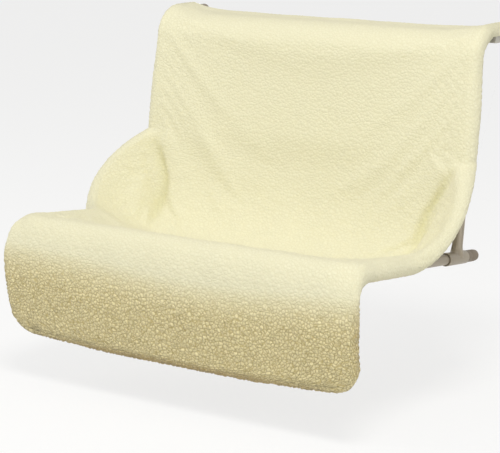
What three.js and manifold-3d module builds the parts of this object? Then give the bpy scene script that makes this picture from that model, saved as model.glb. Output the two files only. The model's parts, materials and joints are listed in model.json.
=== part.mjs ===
// Radiator cat bed: a steel tube frame that hooks over a radiator's top edge,
// with a sherpa fleece cover slung on it as backrest, hammock seat and hanging flap.
// Millimetres. +X runs right along the radiator, +Y back towards it, +Z up.
// The origin is at mid-width on the radiator's top front edge.

import * as THREE from 'three';
import { mergeVertices } from 'three/addons/utils/BufferGeometryUtils.js';
import Module from 'manifold-3d';

const wasm = await Module();
wasm.setup();

// Driving dimensions: clearances
const SEAT_GAP = 0.3;
const CUT_OVERRUN = 5;
const ROD_GAP = 0.3;

// Driving dimensions: frame
const FRAME_HALF_WIDTH = 228;
const ARM_OD = 13;
const ARM_WALL = 1.3;
const ARM_LEAN_DEG = 7.9;
const ARM_CORNER_Y = -12;
const ARM_BEND_R = 30;
const HOOK_AXIS_Z = 11;
const SEAT_OD = 12.5;
const SEAT_WALL = 1.2;
const SEAT_RISE_DEG = 6.3;
const SEAT_FRONT_Y = -298;
const SEAT_BEND_R = 34;
const SEAT_INSERTION = 33;
const FOOT_Z = -257.7;
const SLEEVE_WALL = 1.5;
const SLEEVE_LENGTH = 49;
const BUMPER_LENGTH = 30;

// Driving dimensions: weld, bumper and pad
const WELD_HEIGHT = 10;
const WELD_FLARE = 5.6;
const BUMPER_NECK_R = 6.1;
const BUMPER_STEM = 12;
const BUMPER_TIP_R = 4.6;
const BUMPER_ROUND = 3;
const PAD_SETBACK = 6.86;
const PAD_REAR_SETBACK = 10.5;
const PAD_HALF_WIDTH = 8.2;
const PAD_TOP_DROP = 2.5;

// Driving dimensions: sliding hook, its cap, collar and clamp
const HOOK_DEPTH = 85;
const HOOK_BEND_R = 14;
const HOOK_DROP = 45;
const HOOK_CLEARANCE = 1.4;
const ROD_INNER_Y = 18;
const CAP_WALL = 1.6;
const CAP_LENGTH = 20;
const CAP_DOME = 3.2;
const COLLAR_LENGTH = 9;
const COLLAR_WALL = 1.2;
const COLLAR_LIP = 2.2;
const CLAMP_SETBACK = 5.5;
const NUT_FLATS = 10;
const NUT_LENGTH = 5;
const SCREW_R = 2.5;
const KNOB_R = 9;
const KNOB_LENGTH = 9;
const KNOB_STANDOFF = 2.5;
const KNOB_SOCKET = 6;
const KNOB_LOBES = 6;
const KNOB_LOBE_DEPTH = 1.5;

// Driving dimensions: cover
const COVER_THICKNESS = 6;
const COVER_TUBE_GAP = 1.05;
const COVER_REAR_SETBACK = 7.5;
const TOP_PANEL_RISE = 3.5;
const BACK_SAG = 10;
const NOTCH_Z = -140;
const WING_LANDING_Y = -139;
const WING_FLARE = 25;
const SEAT_SAG = 24;
const EDGE_ROLL_R = 9;
const FLAP_EDGE_R = 7;
const FLAP_OVERHANG = 22;
const FLAP_BULGE = 14;
const FLAP_FALL = 37;
const FLAP_BOTTOM_Z = -360;
const FLAP_TUCK = 12;
const FLAP_TAPER = 3.5;
const FLAP_CORNER_R = 34;
const CASING_THICKNESS = 4;
const CASING_GAP = 0.5;
const TUNNEL_SETBACK = 48;
const HEM_THICKNESS = 1.8;
const BACK_LAP_DEG = 11;
const TOP_LAP_DEG = 43;
const WING_LAP_DEG = 34;
const FLAP_LAP_DEG = 6;
const CASING_START_DEG = 12.5;
const CASING_END_DEG = 188;

// Counts
const TUBE_SIDES = 16;
const BEND_STEPS = 8;
const ROUND_SIDES = 24;

// Sizes worked out from the driving ones
const ARM_R = ARM_OD / 2;
const SEAT_R = SEAT_OD / 2;
const ROD_R = ARM_R - ARM_WALL - ROD_GAP;
const SLEEVE_R = SEAT_R + SEAT_GAP + SLEEVE_WALL;
const COVER_R = ARM_R + COVER_TUBE_GAP + COVER_THICKNESS;
const ARM_REAR_Y = HOOK_DEPTH + ROD_R - HOOK_BEND_R - HOOK_CLEARANCE - COLLAR_LIP - SEAT_GAP;
const CLAMP_Y = ARM_REAR_Y - COLLAR_LENGTH - CLAMP_SETBACK;
const COVER_REAR_Y = CLAMP_Y - COVER_REAR_SETBACK;
const FLAP_HALF_WIDTH = FRAME_HALF_WIDTH + FLAP_OVERHANG;
const TUNNEL_HALF_WIDTH = FRAME_HALF_WIDTH - TUNNEL_SETBACK;
const BACK_LAP = THREE.MathUtils.degToRad(BACK_LAP_DEG);
const TOP_LAP = THREE.MathUtils.degToRad(TOP_LAP_DEG);
const WING_LAP = THREE.MathUtils.degToRad(WING_LAP_DEG);
const FLAP_LAP = THREE.MathUtils.degToRad(FLAP_LAP_DEG);
const CASING_START = -THREE.MathUtils.degToRad(CASING_START_DEG);
const CASING_END = -THREE.MathUtils.degToRad(CASING_END_DEG);
const LEAN = THREE.MathUtils.degToRad(ARM_LEAN_DEG);
const RISE = THREE.MathUtils.degToRad(SEAT_RISE_DEG);

const PAINT = { color: 0x8f8271, roughness: 0.42, metalness: 0.35 };
const STEEL = { color: 0xb4b6b8, roughness: 0.3, metalness: 0.9 };
const RUBBER = { color: 0x8a7862, roughness: 0.85, metalness: 0 };
const PAD_RUBBER = { color: 0xbdb9ae, roughness: 0.8, metalness: 0 };
const TAUPE_PLASTIC = { color: 0x8b806f, roughness: 0.55, metalness: 0 };
const PLASTIC = { color: 0x3b3937, roughness: 0.55, metalness: 0 };
const FLEECE = { color: 0xe6dfba, roughness: 0.95, metalness: 0 };
const LINING = { color: 0xd8d2b4, roughness: 0.9, metalness: 0 };

// A mesh with its own material
function piece(name, geometry, look) {
  const mesh = new THREE.Mesh(geometry, new THREE.MeshStandardMaterial(look));
  mesh.name = name;
  return mesh;
}

// Exact solids for joining and cutting
function toSolid(geometry) {
  const bare = geometry.clone();
  bare.deleteAttribute('normal');
  bare.deleteAttribute('uv');
  const merged = mergeVertices(bare, SEAT_GAP / 1000);
  return new wasm.Manifold(new wasm.Mesh({
    numProp: 3,
    vertProperties: Float32Array.from(merged.attributes.position.array),
    triVerts: Uint32Array.from(merged.index.array),
  }));
}

function toGeometry(solid) {
  const mesh = solid.getMesh();
  const geometry = new THREE.BufferGeometry();
  geometry.setAttribute('position', new THREE.BufferAttribute(Float32Array.from(mesh.vertProperties), 3));
  geometry.setIndex(Array.from(mesh.triVerts));
  return geometry;
}

// A run of straight and bent stretches, one sweep step between neighbouring points
class TubeRun extends THREE.Curve {
  constructor(points) {
    super();
    this.points = points;
  }

  getPoint(t, target = new THREE.Vector3()) {
    const place = t * (this.points.length - 1);
    const i = Math.min(Math.floor(place), this.points.length - 2);
    return target.lerpVectors(this.points[i], this.points[i + 1], place - i);
  }

  getUtoTmapping(u) {
    return u;
  }
}

// Corner points turned into a bent tube's centre line
function bentLine(corners, radius) {
  const line = [corners[0]];
  for (let i = 1; i < corners.length - 1; i += 1) {
    const back = corners[i - 1].clone().sub(corners[i]).normalize();
    const ahead = corners[i + 1].clone().sub(corners[i]).normalize();
    const half = back.angleTo(ahead) / 2;
    const inwards = back.clone().add(ahead).normalize();
    const centre = corners[i].clone().addScaledVector(inwards, radius / Math.sin(half));
    const start = corners[i].clone().addScaledVector(back, radius / Math.tan(half)).sub(centre);
    const axis = ahead.clone().cross(back).normalize();
    for (let k = 0; k <= BEND_STEPS; k += 1) {
      const turn = (Math.PI - 2 * half) * (k / BEND_STEPS);
      line.push(centre.clone().add(start.clone().applyAxisAngle(axis, turn)));
    }
  }
  line.push(corners.at(-1));
  return line;
}

function ringShape(outer, inner) {
  const shape = new THREE.Shape().absarc(0, 0, outer, 0, 2 * Math.PI, false);
  if (inner > 0) {
    shape.holes.push(new THREE.Path().absarc(0, 0, inner, 0, 2 * Math.PI, true));
  }
  return shape;
}

function tube(points, outer, inner = 0) {
  return new THREE.ExtrudeGeometry(ringShape(outer, inner), {
    steps: points.length - 1,
    extrudePath: new TubeRun(points),
    curveSegments: TUBE_SIDES / 2,
    bevelEnabled: false,
  });
}

// A lathe of (radius, height) pairs turned about the line from base along direction
function turned(profile, base, direction, sides = ROUND_SIDES) {
  const points = profile.map(([r, h]) => new THREE.Vector2(r, h));
  const turn = new THREE.Quaternion().setFromUnitVectors(new THREE.Vector3(0, 1, 0), direction);
  return new THREE.LatheGeometry(points, sides).applyQuaternion(turn).translate(base.x, base.y, base.z);
}

// A closed solid between two grids of points with the same rows and columns
function thickSheet(outer, inner) {
  const rows = outer.length;
  const columns = outer[0].length;
  const positions = [...outer.flat(), ...inner.flat()].flatMap((p) => [p.x, p.y, p.z]);
  const at = (i, j) => i * columns + j;
  const under = rows * columns;
  const faces = [];
  const quad = (a, b, c, d) => faces.push(a, b, c, a, c, d);
  for (let i = 0; i < rows - 1; i += 1) {
    for (let j = 0; j < columns - 1; j += 1) {
      quad(at(i, j), at(i + 1, j), at(i + 1, j + 1), at(i, j + 1));
      quad(under + at(i, j), under + at(i, j + 1), under + at(i + 1, j + 1), under + at(i + 1, j));
    }
    const end = at(i, columns - 1);
    quad(at(i + 1, 0), at(i, 0), under + at(i, 0), under + at(i + 1, 0));
    quad(end, end + columns, under + end + columns, under + end);
  }
  for (let j = 0; j < columns - 1; j += 1) {
    quad(at(0, j), at(0, j + 1), under + at(0, j + 1), under + at(0, j));
    quad(at(rows - 1, j + 1), at(rows - 1, j), under + at(rows - 1, j), under + at(rows - 1, j + 1));
  }
  const geometry = new THREE.BufferGeometry();
  geometry.setAttribute('position', new THREE.Float32BufferAttribute(positions, 3));
  geometry.setIndex(signedVolume(positions, faces) < 0 ? faces.reverse() : faces);
  return geometry;
}

function signedVolume(positions, faces) {
  const corner = (i) => new THREE.Vector3(positions[3 * i], positions[3 * i + 1], positions[3 * i + 2]);
  let total = 0;
  for (let f = 0; f < faces.length; f += 3) {
    total += corner(faces[f]).dot(corner(faces[f + 1]).cross(corner(faces[f + 2])));
  }
  return total;
}

// Frame lines: the foot line runs forward and up from the radiator, the arm line leans back
const FOOT_FORWARD = new THREE.Vector3(0, -Math.cos(RISE), Math.sin(RISE));
const ARM_UP = new THREE.Vector3(0, Math.sin(LEAN), Math.cos(LEAN));
const ARM_FRONT = new THREE.Vector3(0, -Math.cos(LEAN), Math.sin(LEAN));
const SEAT_UP = new THREE.Vector3(0, Math.sin(RISE), Math.cos(RISE));

function onFootLine(side, distance) {
  return new THREE.Vector3(side * FRAME_HALF_WIDTH, 0, FOOT_Z).addScaledVector(FOOT_FORWARD, distance);
}

function armCorner(side) {
  return new THREE.Vector3(side * FRAME_HALF_WIDTH, ARM_CORNER_Y, HOOK_AXIS_Z);
}

// Distance along the foot line at which the arm's line crosses it
function armFootDistance() {
  const drop = HOOK_AXIS_Z - FOOT_Z;
  const reach = ARM_CORNER_Y - drop * Math.tan(LEAN);
  return -reach / (Math.cos(RISE) - Math.sin(RISE) * Math.tan(LEAN));
}

const SEAT_FRONT_DISTANCE = -SEAT_FRONT_Y / Math.cos(RISE);
const SLEEVE_MOUTH = BUMPER_LENGTH + SLEEVE_LENGTH;

function solidCylinder(from, to, radius) {
  return toSolid(tube([from, to], radius));
}

function sleeveCutter(side) {
  const rear = onFootLine(side, BUMPER_LENGTH - CUT_OVERRUN);
  return solidCylinder(rear, onFootLine(side, SLEEVE_MOUTH + CUT_OVERRUN), SLEEVE_R + SEAT_GAP);
}

// The clamp screw's line: it enters the arm's rear end from the outer side
function clampPoint(side, reach) {
  return new THREE.Vector3(side * (FRAME_HALF_WIDTH + reach), CLAMP_Y, HOOK_AXIS_Z);
}

function arm(side) {
  const foot = onFootLine(side, armFootDistance());
  const rear = new THREE.Vector3(side * FRAME_HALF_WIDTH, ARM_REAR_Y, HOOK_AXIS_Z);
  const body = toSolid(tube(bentLine([foot, armCorner(side), rear], ARM_BEND_R), ARM_R, ARM_R - ARM_WALL));
  const hole = solidCylinder(clampPoint(side, 0), clampPoint(side, ARM_R + CUT_OVERRUN), SCREW_R + SEAT_GAP);
  return toGeometry(body.subtract(sleeveCutter(side)).subtract(hole));
}

function sleeve(side) {
  return tube([onFootLine(side, BUMPER_LENGTH), onFootLine(side, SLEEVE_MOUTH)], SLEEVE_R, SEAT_R + SEAT_GAP);
}

// A fillet of weld round the arm's foot, longer along the sleeve than across it
function weld(side) {
  const top = SLEEVE_R + WELD_HEIGHT;
  const flare = ARM_R + WELD_FLARE;
  const neck = ARM_R + SEAT_GAP * 3;
  const profile = [[0, 0], [flare, 0], [flare, SLEEVE_R], [(flare + neck) / 2, (SLEEVE_R + top) / 2 - SEAT_GAP],
    [neck, top], [0, top]];
  const foot = onFootLine(side, armFootDistance());
  const across = (SLEEVE_R + SEAT_GAP * 4) / flare;
  const cone = turned(profile, new THREE.Vector3(), ARM_UP).scale(across, 1, 1);
  cone.translate(foot.x, foot.y, foot.z);
  const head = foot.clone().addScaledVector(ARM_UP, top + CUT_OVERRUN);
  const armCutter = solidCylinder(foot, head, ARM_R + SEAT_GAP);
  return toGeometry(toSolid(cone).subtract(sleeveCutter(side)).subtract(armCutter));
}

// The U-shaped tube that carries the seat, its ends pushed into the sleeves
function seatFrame() {
  const end = SLEEVE_MOUTH - SEAT_INSERTION;
  const corners = [onFootLine(-1, end), onFootLine(-1, SEAT_FRONT_DISTANCE),
    onFootLine(1, SEAT_FRONT_DISTANCE), onFootLine(1, end)];
  return tube(bentLine(corners, SEAT_BEND_R), SEAT_R, SEAT_R - SEAT_WALL);
}

// A rubber foot plugged into the sleeve, cut flat where it meets the radiator
function bumper(side) {
  const overrun = BUMPER_TIP_R * Math.tan(RISE) + SEAT_GAP;
  const start = -overrun;
  const profile = [[0, start], [BUMPER_TIP_R, start], [BUMPER_TIP_R, 0],
    [SLEEVE_R - BUMPER_ROUND / 2, BUMPER_ROUND], [SLEEVE_R - BUMPER_ROUND / 3, BUMPER_LENGTH / 3],
    [SLEEVE_R - SEAT_GAP, BUMPER_LENGTH - SEAT_GAP],
    [BUMPER_NECK_R, BUMPER_LENGTH - SEAT_GAP], [BUMPER_NECK_R, BUMPER_LENGTH + BUMPER_STEM - SEAT_GAP],
    [BUMPER_NECK_R - SLEEVE_WALL, BUMPER_LENGTH + BUMPER_STEM], [0, BUMPER_LENGTH + BUMPER_STEM]];
  const body = toSolid(turned(profile, onFootLine(side, 0), FOOT_FORWARD));
  const size = BUMPER_LENGTH;
  const wall = new THREE.BoxGeometry(size, size, size).translate(side * FRAME_HALF_WIDTH, size / 2, FOOT_Z);
  return toGeometry(body.subtract(toSolid(wall)));
}

// The pad clipped under the arm's level end, flat on the radiator's top
function pad(side) {
  const bore = ARM_R + SEAT_GAP;
  const start = -Math.asin(PAD_TOP_DROP / bore);
  const shape = new THREE.Shape();
  shape.moveTo(-PAD_HALF_WIDTH, -HOOK_AXIS_Z);
  shape.lineTo(PAD_HALF_WIDTH, -HOOK_AXIS_Z);
  shape.lineTo(PAD_HALF_WIDTH, -PAD_TOP_DROP);
  shape.absarc(0, 0, bore, start, -Math.PI - start, true);
  shape.lineTo(-PAD_HALF_WIDTH, -PAD_TOP_DROP);
  const rear = CLAMP_Y - PAD_REAR_SETBACK;
  const depth = rear - ARM_BEND_CENTRE.y - PAD_SETBACK;
  const body = new THREE.ExtrudeGeometry(shape, { depth, bevelEnabled: false, curveSegments: TUBE_SIDES / 2 });
  return body.rotateX(Math.PI / 2).translate(side * FRAME_HALF_WIDTH, rear, HOOK_AXIS_Z);
}

// The hook rod slides in the arm's rear end and turns down behind the radiator
function hookRod(side) {
  const x = side * FRAME_HALF_WIDTH;
  const back = HOOK_DEPTH + ROD_R;
  const corners = [new THREE.Vector3(x, ROD_INNER_Y, HOOK_AXIS_Z), new THREE.Vector3(x, back, HOOK_AXIS_Z),
    new THREE.Vector3(x, back, -HOOK_DROP)];
  return tube(bentLine(corners, HOOK_BEND_R), ROD_R);
}

function hookCap(side) {
  const bore = ROD_R + SEAT_GAP;
  const outer = bore + CAP_WALL;
  const floor = -SEAT_GAP;
  const profile = [[0, floor - CAP_DOME], [outer / 2, floor - CAP_DOME],
    [outer - CAP_WALL, floor - CAP_DOME / 2], [outer, floor], [outer, CAP_LENGTH - CAP_WALL],
    [outer - SEAT_GAP, CAP_LENGTH], [bore, CAP_LENGTH], [bore, floor], [0, floor]];
  const base = new THREE.Vector3(side * FRAME_HALF_WIDTH, HOOK_DEPTH + ROD_R, -HOOK_DROP);
  return turned(profile, base, new THREE.Vector3(0, 0, 1));
}

// A collar over the arm's open end, with a lip down to the rod
function collar(side) {
  const bore = ARM_R + SEAT_GAP;
  const outer = bore + COLLAR_WALL;
  const lip = ROD_R + ROD_GAP;
  const end = SEAT_GAP + COLLAR_LIP;
  const profile = [[bore, -COLLAR_LENGTH], [outer, -COLLAR_LENGTH], [outer, end - SEAT_GAP],
    [outer - SEAT_GAP, end], [lip, end], [lip, SEAT_GAP], [bore, SEAT_GAP], [bore, -COLLAR_LENGTH]];
  const base = new THREE.Vector3(side * FRAME_HALF_WIDTH, ARM_REAR_Y, HOOK_AXIS_Z);
  return turned(profile, base, new THREE.Vector3(0, 1, 0), TUBE_SIDES);
}

function outward(side) {
  return new THREE.Vector3(side, 0, 0);
}

// A hexagonal weld nut on the arm's outer side, which the clamp screw threads into
function clampNut(side) {
  const corner = NUT_FLATS / Math.sqrt(3);
  const hexagon = turned([[0, 0], [corner, 0], [corner, NUT_LENGTH], [0, NUT_LENGTH]],
    clampPoint(side, ARM_R + SEAT_GAP), outward(side), 6);
  const far = clampPoint(side, ARM_R + NUT_LENGTH + CUT_OVERRUN);
  const bore = solidCylinder(clampPoint(side, 0), far, SCREW_R + SEAT_GAP);
  return toGeometry(toSolid(hexagon).subtract(bore));
}

function clampScrew(side) {
  const tip = ROD_R + SEAT_GAP;
  const end = ARM_R + SEAT_GAP + NUT_LENGTH + KNOB_STANDOFF + KNOB_SOCKET - SEAT_GAP;
  return tube([clampPoint(side, tip), clampPoint(side, end)], SCREW_R);
}

// A lobed plastic knob, moulded over the screw's end
function knob(side) {
  const shape = new THREE.Shape();
  const points = 8 * KNOB_LOBES;
  for (let i = 0; i <= points; i += 1) {
    const angle = (2 * Math.PI * i) / points;
    const radius = KNOB_R - KNOB_LOBE_DEPTH * (0.5 - 0.5 * Math.cos(KNOB_LOBES * angle));
    const corner = [radius * Math.cos(angle), radius * Math.sin(angle)];
    if (i === 0) {
      shape.moveTo(...corner);
    } else if (i < points) {
      shape.lineTo(...corner);
    }
  }
  const bevel = KNOB_LENGTH / 6;
  const body = new THREE.ExtrudeGeometry(shape, { depth: KNOB_LENGTH - 2 * bevel, bevelThickness: bevel,
    bevelSize: bevel, bevelOffset: -bevel, bevelSegments: 2 });
  body.translate(0, 0, bevel);
  const inner = clampPoint(side, ARM_R + SEAT_GAP + NUT_LENGTH + KNOB_STANDOFF);
  const turn = new THREE.Quaternion().setFromUnitVectors(new THREE.Vector3(0, 0, 1), outward(side));
  body.applyQuaternion(turn).translate(inner.x, inner.y, inner.z);
  const socketFrom = inner.clone().addScaledVector(outward(side), -CUT_OVERRUN);
  const socketTo = inner.clone().addScaledVector(outward(side), KNOB_SOCKET);
  return toGeometry(toSolid(body).subtract(solidCylinder(socketFrom, socketTo, SCREW_R + SEAT_GAP)));
}

// The cover is built row by row, from its rear top hem to the flap's bottom. A row holds:
// axis, the point that its side edge is wrapped round; x, that point's distance from mid-width;
// up, the direction of the cover's face; roll, the wrap's outer radius;
// lap, the wrap's angle past its crown; centre, the row's place at mid-width;
// fold, how much of its height it gains near the edge instead of evenly.
function row(axis, x, up, roll, lap, centre, fold) {
  return { axis, x, up, roll, lap, centre, fold };
}

function inPlane(y, z) {
  return new THREE.Vector3(0, y, z);
}

function mix(a, b, t) {
  return a + (b - a) * t;
}

const ARM_BEND_CENTRE = bendCentre();
const BACK_TOP = ARM_BEND_CENTRE.clone().addScaledVector(ARM_FRONT, ARM_BEND_R);
const TOP_LEVEL = HOOK_AXIS_Z + TOP_PANEL_RISE;
const BEND_PULL_SHARE = 0.55;
const BACK_SAG_END_SHARE = 0.7;

function bendCentre() {
  const tangent = ARM_BEND_R * Math.tan((Math.PI / 2 - LEAN) / 2);
  return inPlane(ARM_CORNER_Y + tangent, HOOK_AXIS_Z - ARM_BEND_R);
}

function armAxis(z) {
  return inPlane(ARM_CORNER_Y - (HOOK_AXIS_Z - z) * Math.tan(LEAN), z);
}

function seatAxis(y) {
  return inPlane(y, FOOT_Z - y * Math.tan(RISE));
}

function bezier(t, ...points) {
  return new THREE.CubicBezierCurve3(...points).getPoint(t);
}

// Rows over the radiator's top
function topRows(steps) {
  const rows = [];
  for (let i = 0; i < steps; i += 1) {
    const y = mix(COVER_REAR_Y, ARM_BEND_CENTRE.y, i / steps);
    const centre = inPlane(y, TOP_LEVEL);
    rows.push(row(inPlane(y, HOOK_AXIS_Z), FRAME_HALF_WIDTH, inPlane(0, 1), COVER_R, TOP_LAP, centre, 1));
  }
  return rows;
}

// Rows round the arms' bends
function bendRows(steps) {
  const rows = [];
  const start = inPlane(ARM_BEND_CENTRE.y, TOP_LEVEL);
  const end = backCentre(0);
  const corner = inPlane(end.y + (start.z - end.z) * Math.tan(LEAN), start.z);
  for (let i = 0; i < steps; i += 1) {
    const t = i / steps;
    const angle = mix(0, Math.PI / 2 - LEAN, t);
    const up = inPlane(-Math.sin(angle), Math.cos(angle));
    const axis = ARM_BEND_CENTRE.clone().addScaledVector(up, ARM_BEND_R);
    const pulls = [start, end].map((point) => point.clone().lerp(corner, BEND_PULL_SHARE));
    const centre = bezier(t, start, ...pulls, end);
    rows.push(row(axis, FRAME_HALF_WIDTH, up, COVER_R, mix(TOP_LAP, BACK_LAP, t), centre, 1 - t));
  }
  return rows;
}

// The backrest's middle, which sags back between the arms
function backCentre(t) {
  const sag = BACK_SAG * mix(BACK_SAG_END_SHARE, 1, Math.sin(Math.PI * t));
  const z = mix(BACK_TOP.z, NOTCH_Z, t);
  return armAxis(z).addScaledVector(ARM_FRONT, COVER_R - sag);
}

function backRows(steps) {
  const rows = [];
  for (let i = 0; i < steps; i += 1) {
    const t = i / steps;
    const axis = armAxis(mix(BACK_TOP.z, NOTCH_Z, t));
    rows.push(row(axis, FRAME_HALF_WIDTH, ARM_FRONT, COVER_R, BACK_LAP, backCentre(t), 0));
  }
  return rows;
}

// The seat's middle at its lowest, and its line forward from there
const SEAT_LOW_SHARE = 0.52;
const SEAT_LOW = seatAxis(SEAT_LOW_SHARE * SEAT_FRONT_Y).addScaledVector(SEAT_UP, COVER_R / 2 - SEAT_SAG);

// The wing's edge leaves the arm and lands on the seat tube along these directions
const WING_LEAVING = [-0.86, -0.51];
const WING_LANDING = [0.1, 1];
const WING_PULL_SHARES = [0.42, 0.3];
const WING_SKEW = 1.2;
const WING_FOLD_SHARE = 0.62;
const CORNER_PULL_SHARES = [0.62, 0.78];

// Rows where the sides run free from arm to seat tube and the middle turns the corner
function wingRows(steps) {
  const rows = [];
  const notch = armAxis(NOTCH_Z);
  const landing = seatAxis(WING_LANDING_Y);
  const span = notch.distanceTo(landing);
  const edge = [notch, notch.clone().addScaledVector(inPlane(...WING_LEAVING), span * WING_PULL_SHARES[0]),
    landing.clone().addScaledVector(inPlane(...WING_LANDING), span * WING_PULL_SHARES[1]), landing];
  const start = backCentre(1);
  const depth = start.z - SEAT_LOW.z;
  const middle = [start, start.clone().addScaledVector(ARM_UP, -depth * CORNER_PULL_SHARES[0]),
    SEAT_LOW.clone().addScaledVector(FOOT_FORWARD, -depth * CORNER_PULL_SHARES[1]), SEAT_LOW];
  for (let i = 0; i < steps; i += 1) {
    const t = i / steps;
    const free = Math.sin(Math.PI * t ** WING_SKEW);
    const up = ARM_FRONT.clone().lerp(SEAT_UP, t).normalize();
    const roll = mix(COVER_R, EDGE_ROLL_R, free);
    const x = FRAME_HALF_WIDTH + (WING_FLARE + COVER_R - EDGE_ROLL_R) * free;
    const lap = mix(BACK_LAP, WING_LAP, free);
    rows.push(row(bezier(t, ...edge), x, up, roll, lap, bezier(t, ...middle), WING_FOLD_SHARE * free));
  }
  return rows;
}

const SEAT_PULL_SHARES = [0.45, 0.3];
const CORNER_FLARE_SHARE = 0.4;

// Rows on the seat's side tubes, then over the tube's front corners, where the sides let go of it
function seatRows(steps) {
  const rows = [];
  const corner = SEAT_FRONT_Y + SEAT_BEND_R;
  const barTop = seatAxis(SEAT_FRONT_Y).addScaledVector(SEAT_UP, COVER_R);
  const reach = SEAT_LOW.distanceTo(barTop);
  const middle = [SEAT_LOW, SEAT_LOW.clone().addScaledVector(FOOT_FORWARD, reach * SEAT_PULL_SHARES[0]),
    barTop.clone().addScaledVector(FOOT_FORWARD, -reach * SEAT_PULL_SHARES[1]), barTop];
  for (let i = 0; i < steps; i += 1) {
    const t = i / steps;
    const y = mix(WING_LANDING_Y, SEAT_FRONT_Y, t);
    const free = Math.max(0, (corner - y) / SEAT_BEND_R);
    const roll = mix(COVER_R, FLAP_EDGE_R, free);
    const axis = seatAxis(y).addScaledVector(SEAT_UP, COVER_R - roll);
    const x = flapReach(free * CORNER_FLARE_SHARE) - roll;
    rows.push(row(axis, x, SEAT_UP, roll, BACK_LAP, bezier(t, ...middle), 0));
  }
  return rows;
}

const ROLL_PULL_SHARES = [0.62, 0.58];

// The flap's most forward line, below the bar and in front of it
function flapTop() {
  return seatAxis(SEAT_FRONT_Y).add(inPlane(-COVER_R - FLAP_BULGE, -FLAP_FALL));
}

// Rows of the soft roll over the bar, flaring to the flap's width
function rollRows(steps) {
  const rows = [];
  const start = seatAxis(SEAT_FRONT_Y).addScaledVector(SEAT_UP, COVER_R);
  const end = flapTop();
  const ahead = start.clone().addScaledVector(FOOT_FORWARD, (start.y - end.y) * ROLL_PULL_SHARES[0]);
  const above = end.clone().add(inPlane(0, (start.z - end.z) * ROLL_PULL_SHARES[1]));
  const curve = new THREE.CubicBezierCurve3(start, ahead, above, end);
  for (let i = 0; i < steps; i += 1) {
    const t = i / steps;
    const tangent = curve.getTangent(t);
    const up = inPlane(tangent.z, -tangent.y);
    rows.push(flapRow(curve.getPoint(t), up, flapReach(mix(CORNER_FLARE_SHARE, 1, t))));
  }
  return rows;
}

function flapReach(t) {
  return mix(FRAME_HALF_WIDTH + COVER_R, FLAP_HALF_WIDTH, t);
}

// A row whose side edge is not wrapped round a tube: it ends in a small roll of its own
function flapRow(surface, up, reach) {
  const axis = surface.clone().addScaledVector(up, -FLAP_EDGE_R);
  return row(axis, reach - FLAP_EDGE_R, up, FLAP_EDGE_R, FLAP_LAP, surface, 0);
}

const FLAP_ROW_SHARES = [0, 0.35, 0.65, 0.82, 0.95, 1];
const FLAP_BELLY_SHARE = 0.35;

// The flap hangs from the roll to its hem, with rounded bottom corners
function flapRows() {
  const rows = [];
  const top = flapTop();
  const bottom = inPlane(top.y + FLAP_TUCK, FLAP_BOTTOM_Z);
  for (const t of FLAP_ROW_SHARES) {
    const surface = top.clone().lerp(bottom, t);
    surface.y -= FLAP_TUCK * FLAP_BELLY_SHARE * Math.sin(Math.PI * t) * (1 - t);
    const left = (top.z - FLAP_BOTTOM_Z) * (1 - t);
    const inside = Math.max(0, FLAP_CORNER_R - left);
    const inset = FLAP_CORNER_R - Math.sqrt(FLAP_CORNER_R ** 2 - inside ** 2);
    rows.push(flapRow(surface, inPlane(-1, 0), FLAP_HALF_WIDTH - FLAP_TAPER * t - inset));
  }
  return rows;
}

const ROW_SHARES = [0, 0.34, 0.6, 0.8, 0.92];
const EVEN_POWER = 2;
const LATE_POWER = 9;
const WRAP_STEPS = 4;
const CASING_STEPS = 8;

// Half a row's points, from mid-width out
function halfRow(item) {
  const points = [];
  const wrap = (angle) => new THREE.Vector3(item.x + item.roll * Math.cos(angle), item.axis.y, item.axis.z)
    .addScaledVector(item.up, item.roll * Math.sin(angle));
  const shoulder = wrap(Math.PI / 2 + item.lap);
  for (const share of ROW_SHARES) {
    const weight = mix(share ** EVEN_POWER, share ** LATE_POWER, item.fold);
    const point = item.centre.clone().lerp(shoulder, weight);
    point.x = shoulder.x * share;
    points.push(point);
  }
  for (let i = 0; i <= WRAP_STEPS; i += 1) {
    points.push(wrap(mix(Math.PI / 2 + item.lap, 0, i / WRAP_STEPS)));
  }
  return points;
}

function fullRow(item) {
  const right = halfRow(item);
  const left = right.slice(1).map((p) => new THREE.Vector3(-p.x, p.y, p.z)).reverse();
  return [...left, ...right];
}

// The grid moved along its own normals
function offsetGrid(grid, distance) {
  const clamp = THREE.MathUtils.clamp;
  const pick = (i, j) => grid[clamp(i, 0, grid.length - 1)][clamp(j, 0, grid[0].length - 1)];
  return grid.map((line, i) => line.map((point, j) => {
    const along = pick(i + 1, j).clone().sub(pick(i - 1, j));
    const across = pick(i, j + 1).clone().sub(pick(i, j - 1));
    return point.clone().addScaledVector(across.cross(along).normalize(), distance);
  }));
}

const COVER_ROWS = [...topRows(1), ...bendRows(5), ...backRows(2), ...wingRows(8), ...seatRows(6),
  ...rollRows(4), ...flapRows()];
const COVER_GRID = COVER_ROWS.map(fullRow);

const HEM_DEPTH = COVER_THICKNESS + SEAT_GAP * 1.5;

function cover() {
  return thickSheet(COVER_GRID, offsetGrid(COVER_GRID, COVER_THICKNESS));
}

// The rear edge's folded hem: a strip under the cover's first rows
function topHem() {
  const trim = (grid) => grid.slice(0, 2).map((line) => line.slice(WRAP_STEPS + 1, line.length - WRAP_STEPS - 1));
  return thickSheet(trim(offsetGrid(COVER_GRID, HEM_DEPTH)), trim(offsetGrid(COVER_GRID, HEM_DEPTH + HEM_THICKNESS)));
}

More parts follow.
